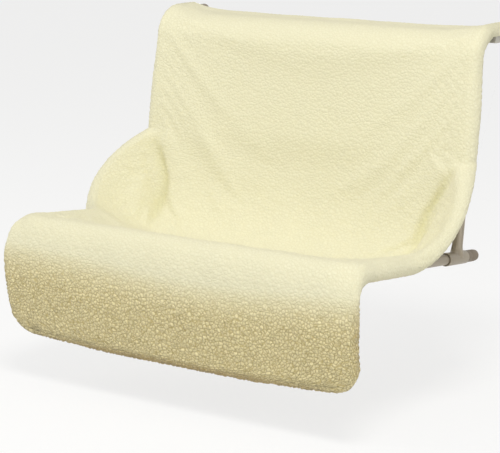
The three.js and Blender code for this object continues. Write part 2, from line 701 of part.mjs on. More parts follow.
// The flap's folded hem: a straight strip behind its last rows, between the rounded corners
function flapHem() {
  const halfWidth = FLAP_HALF_WIDTH - FLAP_TAPER - FLAP_CORNER_R - 2 * FLAP_EDGE_R;
  const strip = (depth) => COVER_ROWS.slice(-3).map((item) => [-halfWidth, 0, halfWidth]
    .map((x) => item.centre.clone().addScaledVector(item.up, -depth).setX(x)));
  return thickSheet(strip(HEM_DEPTH), strip(HEM_DEPTH + HEM_THICKNESS));
}

// A strip of cover folded round a tube's far side: points on two arcs about each centre
function casing(centres, outwards, up, tubeRadius) {
  const arcs = (radius) => centres.map((centre) => Array.from({ length: CASING_STEPS + 1 }, (_, i) => {
    const angle = mix(CASING_START, CASING_END, i / CASING_STEPS);
    const out = centre.clone().addScaledVector(outwards, radius * Math.cos(angle));
    return out.addScaledVector(up, radius * Math.sin(angle));
  }));
  const inner = tubeRadius + CASING_GAP;
  return thickSheet(arcs(inner + CASING_THICKNESS), arcs(inner));
}

function backCasing(side) {
  const place = (z) => armAxis(z).setX(side * FRAME_HALF_WIDTH);
  const centres = [0, 0.5, 1].map((t) => place(mix(BACK_TOP.z, NOTCH_Z, t)));
  return casing(centres, outward(side), ARM_FRONT, ARM_R);
}

function seatCasing(side) {
  const front = SEAT_FRONT_Y + SEAT_BEND_R;
  const place = (y) => seatAxis(y).setX(side * FRAME_HALF_WIDTH);
  const centres = [0, 0.5, 1].map((t) => place(mix(WING_LANDING_Y, front, t)));
  return casing(centres, outward(side), SEAT_UP, SEAT_R);
}

// The strip under the front bar that closes the cover's front tunnel
function frontTunnel() {
  const centres = [-1, 0, 1].map((t) => seatAxis(SEAT_FRONT_Y).setX(t * TUNNEL_HALF_WIDTH));
  return casing(centres, FOOT_FORWARD, SEAT_UP, SEAT_R);
}

const bed = new THREE.Group();
bed.add(piece('seat_frame', seatFrame(), PAINT));
for (const [name, side] of [['left', -1], ['right', 1]]) {
  bed.add(piece(`arm_${name}`, arm(side), PAINT));
  bed.add(piece(`sleeve_${name}`, sleeve(side), PAINT));
  bed.add(piece(`weld_${name}`, weld(side), PAINT));
  bed.add(piece(`bumper_${name}`, bumper(side), RUBBER));
  bed.add(piece(`hook_pad_${name}`, pad(side), PAD_RUBBER));
  bed.add(piece(`arm_collar_${name}`, collar(side), TAUPE_PLASTIC));
  bed.add(piece(`hook_rod_${name}`, hookRod(side), STEEL));
  bed.add(piece(`hook_cap_${name}`, hookCap(side), PLASTIC));
  bed.add(piece(`clamp_nut_${name}`, clampNut(side), STEEL));
  bed.add(piece(`clamp_screw_${name}`, clampScrew(side), STEEL));
  bed.add(piece(`clamp_knob_${name}`, knob(side), PLASTIC));
  bed.add(piece(`back_casing_${name}`, backCasing(side), LINING));
  bed.add(piece(`seat_casing_${name}`, seatCasing(side), LINING));
}
bed.add(piece('fleece_cover', cover(), FLEECE));
bed.add(piece('front_tunnel', frontTunnel(), LINING));
bed.add(piece('flap_hem', flapHem(), LINING));
bed.add(piece('top_hem', topHem(), LINING));

export default bed;
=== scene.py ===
# The radiator cat bed's looks: its sherpa fleece cover, painted tubes, hooks, caps and clamp screws.
# Metres, in the part's own frame: +X right along the radiator, +Y back towards it, +Z up.

import json
import math

import bmesh
import bpy
import numpy as np
from mathutils import Matrix, Vector


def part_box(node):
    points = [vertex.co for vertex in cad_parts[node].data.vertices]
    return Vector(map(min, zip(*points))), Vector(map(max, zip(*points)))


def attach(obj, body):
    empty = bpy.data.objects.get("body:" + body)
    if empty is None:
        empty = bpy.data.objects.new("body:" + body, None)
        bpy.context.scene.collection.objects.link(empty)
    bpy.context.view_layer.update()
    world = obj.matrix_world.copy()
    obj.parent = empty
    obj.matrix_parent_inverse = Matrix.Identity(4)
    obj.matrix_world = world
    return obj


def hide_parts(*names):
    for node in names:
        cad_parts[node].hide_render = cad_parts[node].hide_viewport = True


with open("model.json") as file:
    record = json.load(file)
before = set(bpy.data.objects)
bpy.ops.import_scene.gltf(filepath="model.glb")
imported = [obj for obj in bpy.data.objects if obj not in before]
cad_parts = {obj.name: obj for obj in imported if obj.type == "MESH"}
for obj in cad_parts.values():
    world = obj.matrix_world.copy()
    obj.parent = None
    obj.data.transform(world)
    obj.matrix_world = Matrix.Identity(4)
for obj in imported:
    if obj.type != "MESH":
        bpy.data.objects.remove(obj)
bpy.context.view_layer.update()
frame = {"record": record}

MM = 0.001
UP = Vector((0, 0, 1))
SIDE_NAMES = {-1: "left", 1: "right"}
QUARTER, FULL_TURN = math.pi / 2, 2 * math.pi


# Sizes read from the frame

def centre(node):
    low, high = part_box(node)
    return (low + high) / 2


def extent(node):
    low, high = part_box(node)
    return high - low


def mount_point(name):
    mounts = {mount["name"]: mount for mount in frame["record"]["mounts"]}
    return Vector(mounts[name]["pos_m"])


HALF_WIDTH = centre("sleeve_right").x
ARM_R = extent("arm_right").x / 2
SEAT_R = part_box("seat_frame")[1].x - HALF_WIDTH
SLEEVE_R = extent("sleeve_right").x / 2
ROD_R = extent("hook_rod_right").x / 2
FOOT_Z = mount_point("bumper_face_right").z
HOOK_AXIS_Z = centre("arm_collar_right").z
ARM_REAR_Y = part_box("arm_right")[1].y
COVER_REAR_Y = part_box("fleece_cover")[1].y
FLAP_BOTTOM_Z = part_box("fleece_cover")[0].z

# Sizes that the frame's boxes don't give
FLAP_HALF_WIDTH = 250 * MM
LEAN, RISE = math.radians(7.9), math.radians(6.3)
ARM_CORNER_Y, ARM_BEND_R = -12 * MM, 30 * MM
SEAT_FRONT_Y, SEAT_BEND_R = -298 * MM, 34 * MM
BUMPER_LENGTH, SLEEVE_LENGTH, SEAT_INSERTION = 30 * MM, 49 * MM, 33 * MM
HOOK_BEND_R, CAP_DOME, FIT_GAP, NEAR_GAP = 14 * MM, 3.5 * MM, 0.3 * MM, 0.15 * MM

# The directions of the arms and of the seat's runners
FOOT_FORWARD = Vector((0, -math.cos(RISE), math.sin(RISE)))
SEAT_UP = Vector((0, math.sin(RISE), math.cos(RISE)))
ARM_UP = Vector((0, math.sin(LEAN), math.cos(LEAN)))
ARM_FRONT = Vector((0, -math.cos(LEAN), math.sin(LEAN)))


def linked(name, data):
    """A scene object that holds a mesh, lamp or camera."""
    made = bpy.data.objects.new(name, data)
    bpy.context.scene.collection.objects.link(made)
    return made


# Camera, fitted to the photograph's view of the bed

LENS, SENSOR_WIDTH = 129.6, 36
CAMERA_PLACE = Vector((1184.8, -1942.7, 234.5)) * MM
YAW, PITCH, ROLL = 0.585130, 0.210358, 0.006657


def add_camera():
    data = bpy.data.cameras.new("camera")
    data.lens, data.sensor_width = LENS, SENSOR_WIDTH
    data.clip_start, data.clip_end = 0.1, 50
    camera = linked("camera", data)
    turn = Matrix.Rotation(YAW, 4, "Z") @ Matrix.Rotation(QUARTER - PITCH, 4, "X")
    camera.matrix_world = Matrix.Translation(CAMERA_PLACE) @ turn @ Matrix.Rotation(ROLL, 4, "Z")
    bpy.context.scene.camera = camera


# Node trees, with shader maths as Python expressions

class Wire:
    """An output of a node, on which Python's operators add Math nodes."""

    def __init__(self, net, socket):
        self.net = net
        self.socket = socket

    def maths(self, operation, *others):
        return self.net.node("ShaderNodeMath", {"operation": operation}, (self, *others))

    def __add__(self, other):
        return self.maths("ADD", other)

    def __sub__(self, other):
        return self.maths("SUBTRACT", other)

    def __mul__(self, other):
        return self.maths("MULTIPLY", other)

    def __rsub__(self, other):
        return self.net.node("ShaderNodeMath", {"operation": "SUBTRACT"}, (other, self))

    __radd__ = __add__
    __rmul__ = __mul__

    def clamped(self):
        return self.net.node("ShaderNodeMath", {"operation": "ADD", "use_clamp": True}, (self, 0.0))

    def wave(self):
        """A sine between 0 and 1."""
        return self.maths("SINE") * 0.5 + 0.5


class Net:
    """A node tree, with one method that makes all its nodes."""

    def __init__(self, tree):
        self.tree = tree

    def connect(self, socket, value):
        if isinstance(value, Wire):
            self.tree.links.new(value.socket, socket)
        else:
            socket.default_value = value

    def node(self, kind, settings=None, sockets=(), output=0):
        """A node with its settings, then its sockets' values and links. Returns the wire of one output."""
        made = self.tree.nodes.new(kind)
        for name, value in (settings or {}).items():
            setattr(made, name, value)
        pairs = sockets.items() if isinstance(sockets, dict) else enumerate(sockets)
        for key, value in pairs:
            self.connect(made.inputs[key], value)
        return Wire(self, made.outputs[output]) if made.outputs else None

    def seen_directly(self):
        """1 for what the camera, a mirror or a clear surface sees, 0 for light on the object."""
        camera, glossy, clear = (self.node("ShaderNodeLightPath", output=f"Is {kind} Ray")
                                 for kind in ("Camera", "Glossy", "Transmission"))
        return camera.maths("MAXIMUM", glossy).maths("MAXIMUM", clear)


class Finish(Net):
    """A material with one Principled shader and short calls for its nodes."""

    def __init__(self, name, **constants):
        self.material = bpy.data.materials.new(name)
        self.material.use_nodes = True
        super().__init__(self.material.node_tree)
        self.shader = self.tree.nodes["Principled BSDF"]
        self.finish(**constants)

    def finish(self, **values):
        for label, value in values.items():
            self.connect(self.shader.inputs[label.replace("_", " ")], value)
        return self.material

    def cloth_place(self):
        return self.node("ShaderNodeUVMap", {"uv_map": "cloth"})

    def across_and_along(self):
        uv = self.cloth_place()
        return (self.node("ShaderNodeSeparateXYZ", None, [uv], axis) for axis in "XY")

    def attribute(self, name):
        return self.node("ShaderNodeAttribute", {"attribute_name": name}, (), "Fac")

    def noise(self, scale, detail=2, rough=0.5):
        place = self.node("ShaderNodeTexCoord", output="Object")
        sockets = {"Scale": scale, "Detail": detail, "Roughness": rough, "Vector": place}
        return self.node("ShaderNodeTexNoise", None, sockets)

    def cells(self, feature, where, scale, **more):
        sockets = {"Scale": scale, "Vector": where, **more}
        return self.node("ShaderNodeTexVoronoi", {"feature": feature}, sockets, "Distance")

    def mixed(self, factor, first, second):
        """A mix of two colours, each a wire or three numbers."""
        first, second = (value if isinstance(value, Wire) else (*value, 1.0) for value in (first, second))
        return self.node("ShaderNodeMix", {"data_type": "RGBA"}, {0: factor, 6: first, 7: second}, 2)

    def shifted(self, where, amount, scale):
        """Coordinates pushed about by a noise of its own, so that cells lose their straight edges."""
        sockets = {"Scale": scale, "Detail": 1.0, "Vector": where}
        push = self.node("ShaderNodeTexNoise", None, sockets, "Color")
        settings = {"operation": "MULTIPLY_ADD"}
        return self.node("ShaderNodeVectorMath", settings, (push, (amount,) * 3, where))

    def bump(self, height, depth, strength):
        sockets = {"Strength": strength, "Distance": depth, "Height": height}
        return self.node("ShaderNodeBump", None, sockets)


# Finishes. The fleece's colours are those of a curl's crown and of the crease beside it. The crease colours
# are painted shade, and the second pair is the flap's shaded copy of the pile, painted shade too

CLOSE_CROWN, CLOSE_CREASE_SHADE = (0.83, 0.805, 0.595), (0.58, 0.515, 0.265)
SHADED_FLAP_CROWN, SHADED_FLAP_CREASE = (0.975, 0.875, 0.526), (0.52, 0.413, 0.163)
# The first colour here is a random tone of the pile; the second is painted shade in the wing's crease, and
# the third painted brown shade on turned-under edges that face down
WORN, CREASE_SHADE_COLOUR, UNDERSIDE_SHADE = (0.81, 0.77, 0.53), (0.62, 0.585, 0.27), (0.465, 0.322, 0.128)
CURLS_PER_METRE, TUFTS_PER_CURL = 248, 2.4
# Waves of the knit and the tape, in radians a metre
RIB_RATE, LOOP_RATE, TWILL_RATE, WEFT_RATE = 3600, 2900, 4200, 7000


def sherpa_fleece():
    """Cream sherpa pile, close on the back and seat and open on the flap, where creases part its lumps. Its
    colour holds painted shade: in the creases between curls, over the whole flap, in the wing's crease and
    on edges that face down.
    """
    made = Finish("sherpa_fleece", Roughness=0.95, Sheen_Weight=0.35, Sheen_Roughness=0.45,
                  Sheen_Tint=(1.0, 0.95, 0.84, 1.0), Specular_IOR_Level=0.2)
    where = made.shifted(made.cloth_place(), amount=0.0032, scale=150)
    crown = made.cells("SMOOTH_F1", where, CURLS_PER_METRE, Smoothness=0.2)
    gap = made.cells("DISTANCE_TO_EDGE", where, CURLS_PER_METRE)
    tufts = made.cells("SMOOTH_F1", where, CURLS_PER_METRE * TUFTS_PER_CURL, Smoothness=0.3)
    fibre, patches = made.noise(1500, detail=3), made.noise(26)
    nap_and_shade = made.attribute("nap_and_shade")
    open_pile_and_shade = nap_and_shade * 0.72 + 0.28
    crease = (1 - gap * 5.2).clamped()
    height = (1 - crown * 0.9 - crease * 0.5 - tufts * 0.2) * open_pile_and_shade + fibre * 0.1
    # Painted shade in the creases between the curls, stronger on the flap
    shade = ((crease * 0.7 + tufts * 0.32) * open_pile_and_shade).clamped()
    close = made.mixed(shade, CLOSE_CROWN, CLOSE_CREASE_SHADE)
    # The flap's shaded copy of the pile: painted shade, darker and yellower
    shaded_flap_pile = made.mixed(shade, SHADED_FLAP_CROWN, SHADED_FLAP_CREASE)
    pile = made.mixed(nap_and_shade, close, shaded_flap_pile)
    worn = made.mixed((patches * 0.3).clamped(), pile, made.mixed(nap_and_shade, WORN, shaded_flap_pile))
    # Painted shade in the wing's crease
    folded = made.mixed(made.attribute("crease") * 0.36, worn, CREASE_SHADE_COLOUR)
    # Painted brown shade on the turned-under edges that face down
    colour = made.mixed(made.attribute("rim"), folded, UNDERSIDE_SHADE)
    return made.finish(Base_Color=colour, Normal=made.bump(height, depth=0.0022, strength=0.8))


def knit_backing():
    """The cover's plain knitted back: fine ribs one way and finer loops the other."""
    made = Finish("knit_backing", Roughness=0.9, Sheen_Weight=0.2, Specular_IOR_Level=0.25)
    across, along = made.across_and_along()
    rib = (across * RIB_RATE).wave()
    height = rib * 0.6 + (along * LOOP_RATE + rib * 2.2).wave() * 0.4
    shade = (height * 0.5 + made.noise(40, detail=3) * 0.5).clamped()
    colour = made.mixed(shade, (0.50, 0.44, 0.30), (0.74, 0.69, 0.52))
    return made.finish(Base_Color=colour, Normal=made.bump(height, depth=0.0004, strength=0.7))


def hem_tape():
    """Woven twill tape along the hems."""
    made = Finish("hem_tape", Roughness=0.8, Sheen_Weight=0.2, Specular_IOR_Level=0.3)
    across, along = made.across_and_along()
    height = ((across + along) * TWILL_RATE).wave() * 0.7 + (along * WEFT_RATE).wave() * 0.3
    shade = (height * 0.5 + made.noise(60, detail=3) * 0.4).clamped()
    colour = made.mixed(shade, (0.44, 0.37, 0.24), (0.68, 0.61, 0.43))
    return made.finish(Base_Color=colour, Normal=made.bump(height, depth=0.0003, strength=0.6))


def thread():
    made = Finish("stitch_thread", Roughness=0.6, Sheen_Weight=0.15)
    twist = made.noise(2600)
    colour = made.mixed(twist, (0.60, 0.53, 0.36), (0.84, 0.79, 0.62))
    return made.finish(Base_Color=colour, Normal=made.bump(twist, depth=0.0002, strength=0.5))


def taupe_paint():
    """Powder coat on steel: orange peel, a little dust in random patches and fine scuffs."""
    made = Finish("taupe_powder_coat", Metallic=0.25, Specular_IOR_Level=0.5)
    peel, dust = made.noise(900), made.noise(55, detail=4)
    mark = ((made.noise(320, detail=5, rough=0.7) - 0.63) * 7).clamped()
    paint = made.mixed(dust, (0.325, 0.280, 0.208), (0.41, 0.355, 0.268))
    colour = made.mixed(mark * 0.5, paint, (0.5, 0.44, 0.36))
    roughness = 0.34 + dust * 0.16 + mark * 0.1
    bump = made.bump(peel, depth=0.00012, strength=0.5)
    return made.finish(Base_Color=colour, Roughness=roughness, Normal=bump)


def zinc_plate():
    """Bright zinc: cloudy patches over a fine grain."""
    made = Finish("zinc_plate", Metallic=1.0)
    cloud = made.noise(70, detail=4, rough=0.6)
    colour = made.mixed(cloud, (0.55, 0.55, 0.54), (0.72, 0.72, 0.73))
    grain = made.bump(made.noise(1400), depth=0.00005, strength=0.4)
    return made.finish(Base_Color=colour, Roughness=0.2 + cloud * 0.22, Normal=grain)


def moulded(name, dark, light, roughness, grain_scale, grain_depth):
    """Moulded rubber, vinyl or plastic with a fine grain."""
    made = Finish(name, Specular_IOR_Level=0.4)
    cloud = made.noise(80, detail=3)
    grain = made.bump(made.noise(grain_scale, detail=3), grain_depth, strength=0.6)
    return made.finish(Base_Color=made.mixed(cloud, dark, light), Roughness=roughness + cloud * 0.12,
                       Normal=grain)


FINISHES = {
    "fleece": sherpa_fleece(),
    "backing": knit_backing(),
    "tape": hem_tape(),
    "thread": thread(),
    "paint": taupe_paint(),
    "zinc": zinc_plate(),
    "bumper": moulded("taupe_rubber", (0.215, 0.175, 0.13), (0.27, 0.225, 0.17), 0.55, 1100, 0.0002),
    "pad": moulded("pale_rubber", (0.46, 0.44, 0.385), (0.56, 0.54, 0.48), 0.6, 1300, 0.0002),
    "collar": moulded("taupe_plastic", (0.235, 0.195, 0.148), (0.29, 0.245, 0.19), 0.45, 1500, 0.00015),
    "plastic": moulded("black_plastic", (0.018, 0.018, 0.018), (0.032, 0.031, 0.030), 0.42, 1700, 0.00015),
    "vinyl": moulded("dipped_vinyl", (0.05, 0.043, 0.035), (0.078, 0.067, 0.055), 0.3, 500, 0.0001),
}


# Mesh helpers

SHARP_ANGLE, ON_AXIS = math.radians(38), 1e-5


def mesh_of(name, points, edges, faces):
    mesh = bpy.data.meshes.new(name)
    mesh.from_pydata([tuple(p) for p in points], edges, [tuple(int(i) for i in f) for f in faces])
    return mesh


def shade_smooth(mesh):
    mesh.polygons.foreach_set("use_smooth", np.ones(len(mesh.polygons), bool))


def add_piece(name, points, faces, finishes, slot, nodes, body="bed", face_finish=None, uv=None,
              shades=None):
    """A mesh object that rides on a body, takes its finishes and stands for its nodes."""
    mesh = mesh_of(name, points, [], faces)
    for key in finishes:
        mesh.materials.append(FINISHES[key])
    if face_finish is not None:
        mesh.polygons.foreach_set("material_index", np.asarray(face_finish, np.int32))
    shade_smooth(mesh)
    if uv is not None:
        layer = mesh.uv_layers.new(name="cloth")
        corner = np.empty(len(mesh.loops), np.int32)
        mesh.loops.foreach_get("vertex_index", corner)
        layer.data.foreach_set("uv", np.asarray(uv, np.float32)[corner].ravel())
    for label, values in (shades or {}).items():
        attribute = mesh.attributes.new(label, "FLOAT", "POINT")
        attribute.data.foreach_set("value", np.asarray(values, np.float32))
    mesh.validate()
    made = linked(name, mesh)
    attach(made, body)
    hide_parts(*nodes)
    return made


def keep_sharp_edges(mesh):
    """Marks edges sharper than the angle, so that flats and rounds both shade true."""
    work = bmesh.new()
    work.from_mesh(mesh)
    for edge in work.edges:
        edge.smooth = edge.calc_face_angle(0) < SHARP_ANGLE
    work.to_mesh(mesh)
    work.free()


def frame_of(direction):
    """Two unit vectors square to a direction."""
    along = Vector(direction).normalized()
    side = along.cross(UP) if abs(along.z) < 0.9 else along.cross(Vector((1, 0, 0)))
    side.normalize()
    return side, side.cross(along)


def ring_points(middle, side, other, radius, around):
    """Points round a middle, in the plane of two unit vectors. The radius may depend on the angle."""
    made = []
    for k in range(around):
        angle = FULL_TURN * k / around
        reach = radius(angle) if callable(radius) else radius
        made.append(middle + (side * math.cos(angle) + other * math.sin(angle)) * max(reach, ON_AXIS))
    return made


def ring_faces(rings, around, closed):
    """Quads between rings of points, with the rings joined end to end if closed."""
    faces = []
    for i in range(rings if closed else rings - 1):
        here, there = i * around, (i + 1) % rings * around
        for j in range(around):
            n = (j + 1) % around
            faces.append((here + j, here + n, there + n, there + j))
    return faces


def outward_faces(points, faces):
    """The faces turned round if the closed shape is inside out."""
    p = np.asarray([tuple(q) for q in points], float)
    total = 0.0
    for face in faces:
        for k in range(1, len(face) - 1):
            total += np.dot(p[face[0]], np.cross(p[face[k]], p[face[k + 1]]))
    return faces if total > 0 else [tuple(reversed(face)) for face in faces]


def shape_of(rings, capped=False):
    """Points and faces of a solid from its rings, which are joined end to end or capped at both ends."""
    points = [point for ring in rings for point in ring]
    count = len(rings[0])
    faces = ring_faces(len(rings), count, not capped)
    if capped:
        faces += [tuple(range(count))[::-1], tuple(range(len(points) - count, len(points)))]
    return points, outward_faces(points, faces)


def arc(t, start, corner, end):
    """A curve that leaves its start towards a corner and comes to its end from there."""
    return (1 - t) ** 2 * start + 2 * t * (1 - t) * corner + t * t * end


def rounded(outline, radius, steps=4):
    """A closed outline with its corners rounded, on arcs no longer than half a side."""
    outline = np.array(outline, float)
    made = []
    for before, corner, after in zip(np.roll(outline, 1, 0), outline, np.roll(outline, -1, 0)):
        sides = [before - corner, after - corner]
        lengths = [np.linalg.norm(side) for side in sides]
        reach = min(radius, 0.49 * min(lengths))
        start, end = (corner + side / length * reach for side, length in zip(sides, lengths))
        made += [arc(k / steps, start, corner, end) for k in range(steps + 1)]
    return made


def turned(outline, base, direction, around=56):
    """A closed (radius, height) outline turned about a line. Points on the axis close the shape."""
    axis = Vector(direction).normalized()
    sides = frame_of(axis)
    rings = [ring_points(base + axis * height, *sides, radius, around) for radius, height in outline]
    return shape_of(rings)


def in_metres(pairs):
    return [(first * MM, second * MM) for first, second in pairs]


def at_both_ends(low, high, insets):
    """Stations between two ends, from (inset, value) pairs that hold at each of them."""
    return ([(low + inset, value) for inset, value in insets]
            + [(high - inset, value) for inset, value in reversed(insets)])


def bent_line(corners, radius, steps=24):
    line = [corners[0]]
    for before, corner, after in zip(corners, corners[1:], corners[2:]):
        back, ahead = (before - corner).normalized(), (after - corner).normalized()
        half = back.angle(ahead) / 2
        middle = corner + (back + ahead).normalized() * (radius / math.sin(half))
        start = corner + back * (radius / math.tan(half)) - middle
        axis = ahead.cross(back).normalized()
        for k in range(steps + 1):
            turn = Matrix.Rotation((math.pi - 2 * half) * k / steps, 3, axis)
            line.append(middle + turn @ start)
    line.append(corners[-1])
    return line


def swept(line, radius, around=40, bevel=0.4 * MM):
    """A round bar along a line, its ends slightly rounded."""
    ends = len(line) - 1
    tangents = [(line[min(i + 1, ends)] - line[max(i - 1, 0)]).normalized() for i in range(len(line))]
    start, end, first, last = line[0], line[-1], tangents[0], tangents[-1]
    stations = [(start, first, 0), (start, first, radius - bevel), (start + first * bevel, first, radius)]
    stations += [(point, tangent, radius) for point, tangent in zip(line[1:-1], tangents[1:-1])]
    stations += [(end - last * bevel, last, radius), (end, last, radius - bevel), (end, last, 0)]
    side, other = frame_of(first)
    rings, before = [], first
    for point, tangent, reach in stations:
        turn = before.rotation_difference(tangent)
        side, other, before = turn @ side, turn @ other, tangent
        rings.append(ring_points(point, side, other, reach, around))
    return shape_of(rings)


# The frame's rigid pieces. Each shape is for one side: -1 left, 1 right

def at_side(side, y, z):
    return Vector((side * HALF_WIDTH, y, z))


def on_foot_line(side, distance):
    return at_side(side, 0, FOOT_Z) + FOOT_FORWARD * distance


def arm_axis(z):
    return np.array((ARM_CORNER_Y - (HOOK_AXIS_Z - z) * math.tan(LEAN), z))


def seat_axis(y):
    return np.array((y, FOOT_Z - y * math.tan(RISE)))


def arm_foot(side):
    """Where the arm's axis meets the foot line."""
    return on_foot_line(side, -arm_axis(FOOT_Z)[0] / (math.cos(RISE) - math.sin(RISE) * math.tan(LEAN)))


def seat_frame_shape():
    end, front = BUMPER_LENGTH + SLEEVE_LENGTH - SEAT_INSERTION, -SEAT_FRONT_Y / math.cos(RISE)
    corners = [on_foot_line(side, reach) for side, reach in ((-1, end), (-1, front), (1, front), (1, end))]
    return swept(bent_line(corners, SEAT_BEND_R), SEAT_R)


def arm_shape(side):
    foot = arm_foot(side) + ARM_UP * (SLEEVE_R - 1.2 * MM)
    corner, rear = at_side(side, ARM_CORNER_Y, HOOK_AXIS_Z), at_side(side, ARM_REAR_Y, HOOK_AXIS_Z)
    return swept(bent_line([foot, corner, rear], ARM_BEND_R), ARM_R)


def sleeve_shape(side):
    bore = SEAT_R + FIT_GAP
    ring = [(bore, 0), (SLEEVE_R, 0), (SLEEVE_R, SLEEVE_LENGTH), (bore, SLEEVE_LENGTH)]
    return turned(rounded(ring, 0.7 * MM), on_foot_line(side, BUMPER_LENGTH), FOOT_FORWARD)


def weld_shape(side):
    """A rippled fillet of weld from the arm's foot out over the sleeve, closed inside the tubes."""
    foot = arm_foot(side)
    across, along, top = SLEEVE_R + 0.9 * MM, ARM_R + 5.4 * MM, SLEEVE_R + 9.4 * MM
    around, steps, sunk, ripples, ripple_height = 96, 10, 0.3 * MM, 26, 0.28 * MM
    rings = [[foot + ARM_UP * (top - 1 * MM)] * around]
    for k in range(steps + 1):
        u, ring = k / steps, []
        for j in range(around):
            a = FULL_TURN * j / around
            wide = 1 / math.hypot(math.cos(a) / across, math.sin(a) / along)
            low = math.sqrt(max(SLEEVE_R ** 2 - (wide * math.cos(a)) ** 2, (1.4 * MM) ** 2)) - sunk
            ripple = ripple_height * math.sin(math.pi * u) * math.sin(ripples * a + 1.7 * math.sin(3 * a))
            radius = arc(u, ARM_R - 0.1 * MM, ARM_R + 0.5 * MM, wide) + ripple
            spoke = Vector((math.cos(a), 0, 0)) + ARM_FRONT * math.sin(a)
            ring.append(foot + ARM_UP * arc(u, top, low + 2.5 * MM, low) + spoke * radius)
        rings.append(ring)
    rings.append([foot + ARM_UP * 1 * MM] * around)
    return shape_of(rings)


def bumper_shape(side):
    """A rubber plug: a rolled shoulder at the sleeve, a shallow ring and a rounded tip cut to the wall."""
    wide, length, tip, stem = SLEEVE_R / MM, BUMPER_LENGTH / MM, 4.6, 6.1
    outline = [(0, -0.9), (tip, -0.9), (tip + 0.9, 0.6), (wide - 1.3, 3.2), (wide - 0.8, 8),
               (wide - 0.75, length * 0.62), (wide - 1.15, length * 0.66), (wide - 0.75, length * 0.7),
               (wide - 0.45, length - 2.4), (wide - 0.2, length - 1.2), (wide - 0.5, length - 0.3),
               (stem, length - 0.3), (stem, length + 11), (0, length + 11)]
    points, faces = turned(in_metres(outline), on_foot_line(side, 0), FOOT_FORWARD)
    for point in points:
        point.y = min(point.y, 0.0)
    return points, faces


def pad_shape(side):
    """The saddle under the arm's level end: a cradle over a flat foot with grip ribs across it."""
    bore, half, drop = ARM_R + FIT_GAP, 8.2 * MM, 2.5 * MM
    ribs, rib_steps, rib_height, cradle_steps = 5, 8, 0.45 * MM, 24
    ring = []
    for k in range(ribs * rib_steps + 1):
        rib = max(0.0, math.cos(FULL_TURN * k / rib_steps)) ** 2 * (0 < k < ribs * rib_steps)
        ring.append((-half + 2 * half * k / (ribs * rib_steps), -HOOK_AXIS_Z + rib_height * rib))
    ring.append((half, -drop))
    start = -math.asin(drop / bore)
    for k in range(cradle_steps + 1):
        angle = start + (-math.pi - 2 * start) * k / cradle_steps
        ring.append((bore * math.cos(angle), bore * math.sin(angle)))
    ring.append((-half, -drop))
    low, high = (corner.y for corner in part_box(f"hook_pad_{SIDE_NAMES[side]}"))
    stations = at_both_ends(low, high, ((0, 0.9), (0.25 * MM, 0.965), (0.8 * MM, 1.0)))
    middle = sum(z for _, z in ring) / len(ring)
    rings = [[at_side(side, y, HOOK_AXIS_Z + middle + (z - middle) * share) + Vector((x * share, 0, 0))
              for x, z in ring] for y, share in stations]
    return shape_of(rings, capped=True)


def collar_shape(side):
    bore, outer, lip = (ARM_R + NEAR_GAP) / MM, ARM_R / MM + 1.5, (ROD_R + FIT_GAP) / MM
    ring = [(bore, -9), (outer - 0.5, -9), (outer - 0.5, -7.4), (outer, -7), (outer, 2.5), (lip, 2.5),
            (lip, 0.3), (bore, 0.3)]
    return turned(rounded(in_metres(ring), 0.5 * MM, 3), at_side(side, ARM_REAR_Y, HOOK_AXIS_Z), (0, 1, 0))


def hook_line(side):
    rod, cap = (f"hook_{part}_{SIDE_NAMES[side]}" for part in ("rod", "cap"))
    start, back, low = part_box(rod)[0].y, centre(cap).y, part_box(cap)[0].z + CAP_DOME
    return [at_side(side, start, HOOK_AXIS_Z), at_side(side, back, HOOK_AXIS_Z), at_side(side, back, low)]


def rod_shape(side):
    return swept(bent_line(hook_line(side), HOOK_BEND_R), ROD_R)


def cap_shape(side):
    """A dipped vinyl cap: thick at its domed tip, with a soft bead at its mouth."""
    bore = (ROD_R + NEAR_GAP) / MM
    outer, floor = bore + 1.6, -0.2
    dome = [(outer * math.sin(t), -0.3 - 3.1 * math.cos(t)) for t in np.linspace(0.02, QUARTER, 9)]
    outline = [(0, dome[0][1]), *dome, (outer, 16.4), (outer + 0.1, 18), (outer + 0.1, 19.2),
               (outer - 0.4, 20), (bore, 20), (bore, floor), (0, floor)]
    return turned(in_metres(outline), hook_line(side)[-1], UP, 48)


def clamp_span(piece):
    """How far out of the arm's plane a piece of the clamp starts and ends."""
    low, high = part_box(f"{piece}_right")
    return low.x - HALF_WIDTH, high.x - HALF_WIDTH


def clamp_ring(side, reach, radius, around):
    """A ring about the clamp's axis, at a reach out of the arm's plane."""
    base = Vector((side * (HALF_WIDTH + reach), centre(f"clamp_nut_{SIDE_NAMES[side]}").y, HOOK_AXIS_Z))
    return ring_points(base, Vector((0, 1, 0)), UP, radius, around)


def nut_shape(side):
    """A chamfered hexagon nut with its bore."""
    low, high = clamp_span("clamp_nut")
    flat, bore, sixth = 5 * MM, 2.75 * MM, math.pi / 3
    stations = at_both_ends(low, high, in_metres(((0, 5.0), (0.3, 5.35), (0.75, 5.9))))

    def hexagon(limit):
        return lambda angle: min(flat / math.cos((angle + sixth / 2) % sixth - sixth / 2), limit)

    rings = [clamp_ring(side, reach, hexagon(limit), 72) for reach, limit in stations]
    rings += [clamp_ring(side, reach, bore, 72) for reach in (high, low)]
    return shape_of(rings)


def screw_shape(side):
    """The clamp screw, its thread cut as a helix, with a plain chamfered tip."""
    low, high = clamp_span("clamp_screw")
    pitch, depth, around, radius = 0.8 * MM, 0.42 * MM, 24, 2.5 * MM
    steps = int((high - low) / pitch * 6)

    def thread_at(height):
        fade = min(1.0, height / (1.2 * MM))
        cut, full = depth * min(1.0, 0.35 + fade), radius - 0.5 * MM * (1 - fade)
        return lambda angle: full - cut * abs((height / pitch + angle / FULL_TURN) % 1.0 * 2 - 1)

    heights = [(high - low) * i / steps for i in range(steps + 1)]
    rings = [clamp_ring(side, low + height, thread_at(height), around) for height in heights]
    return shape_of([clamp_ring(side, low, 0, around), *rings, clamp_ring(side, high, 0, around)])


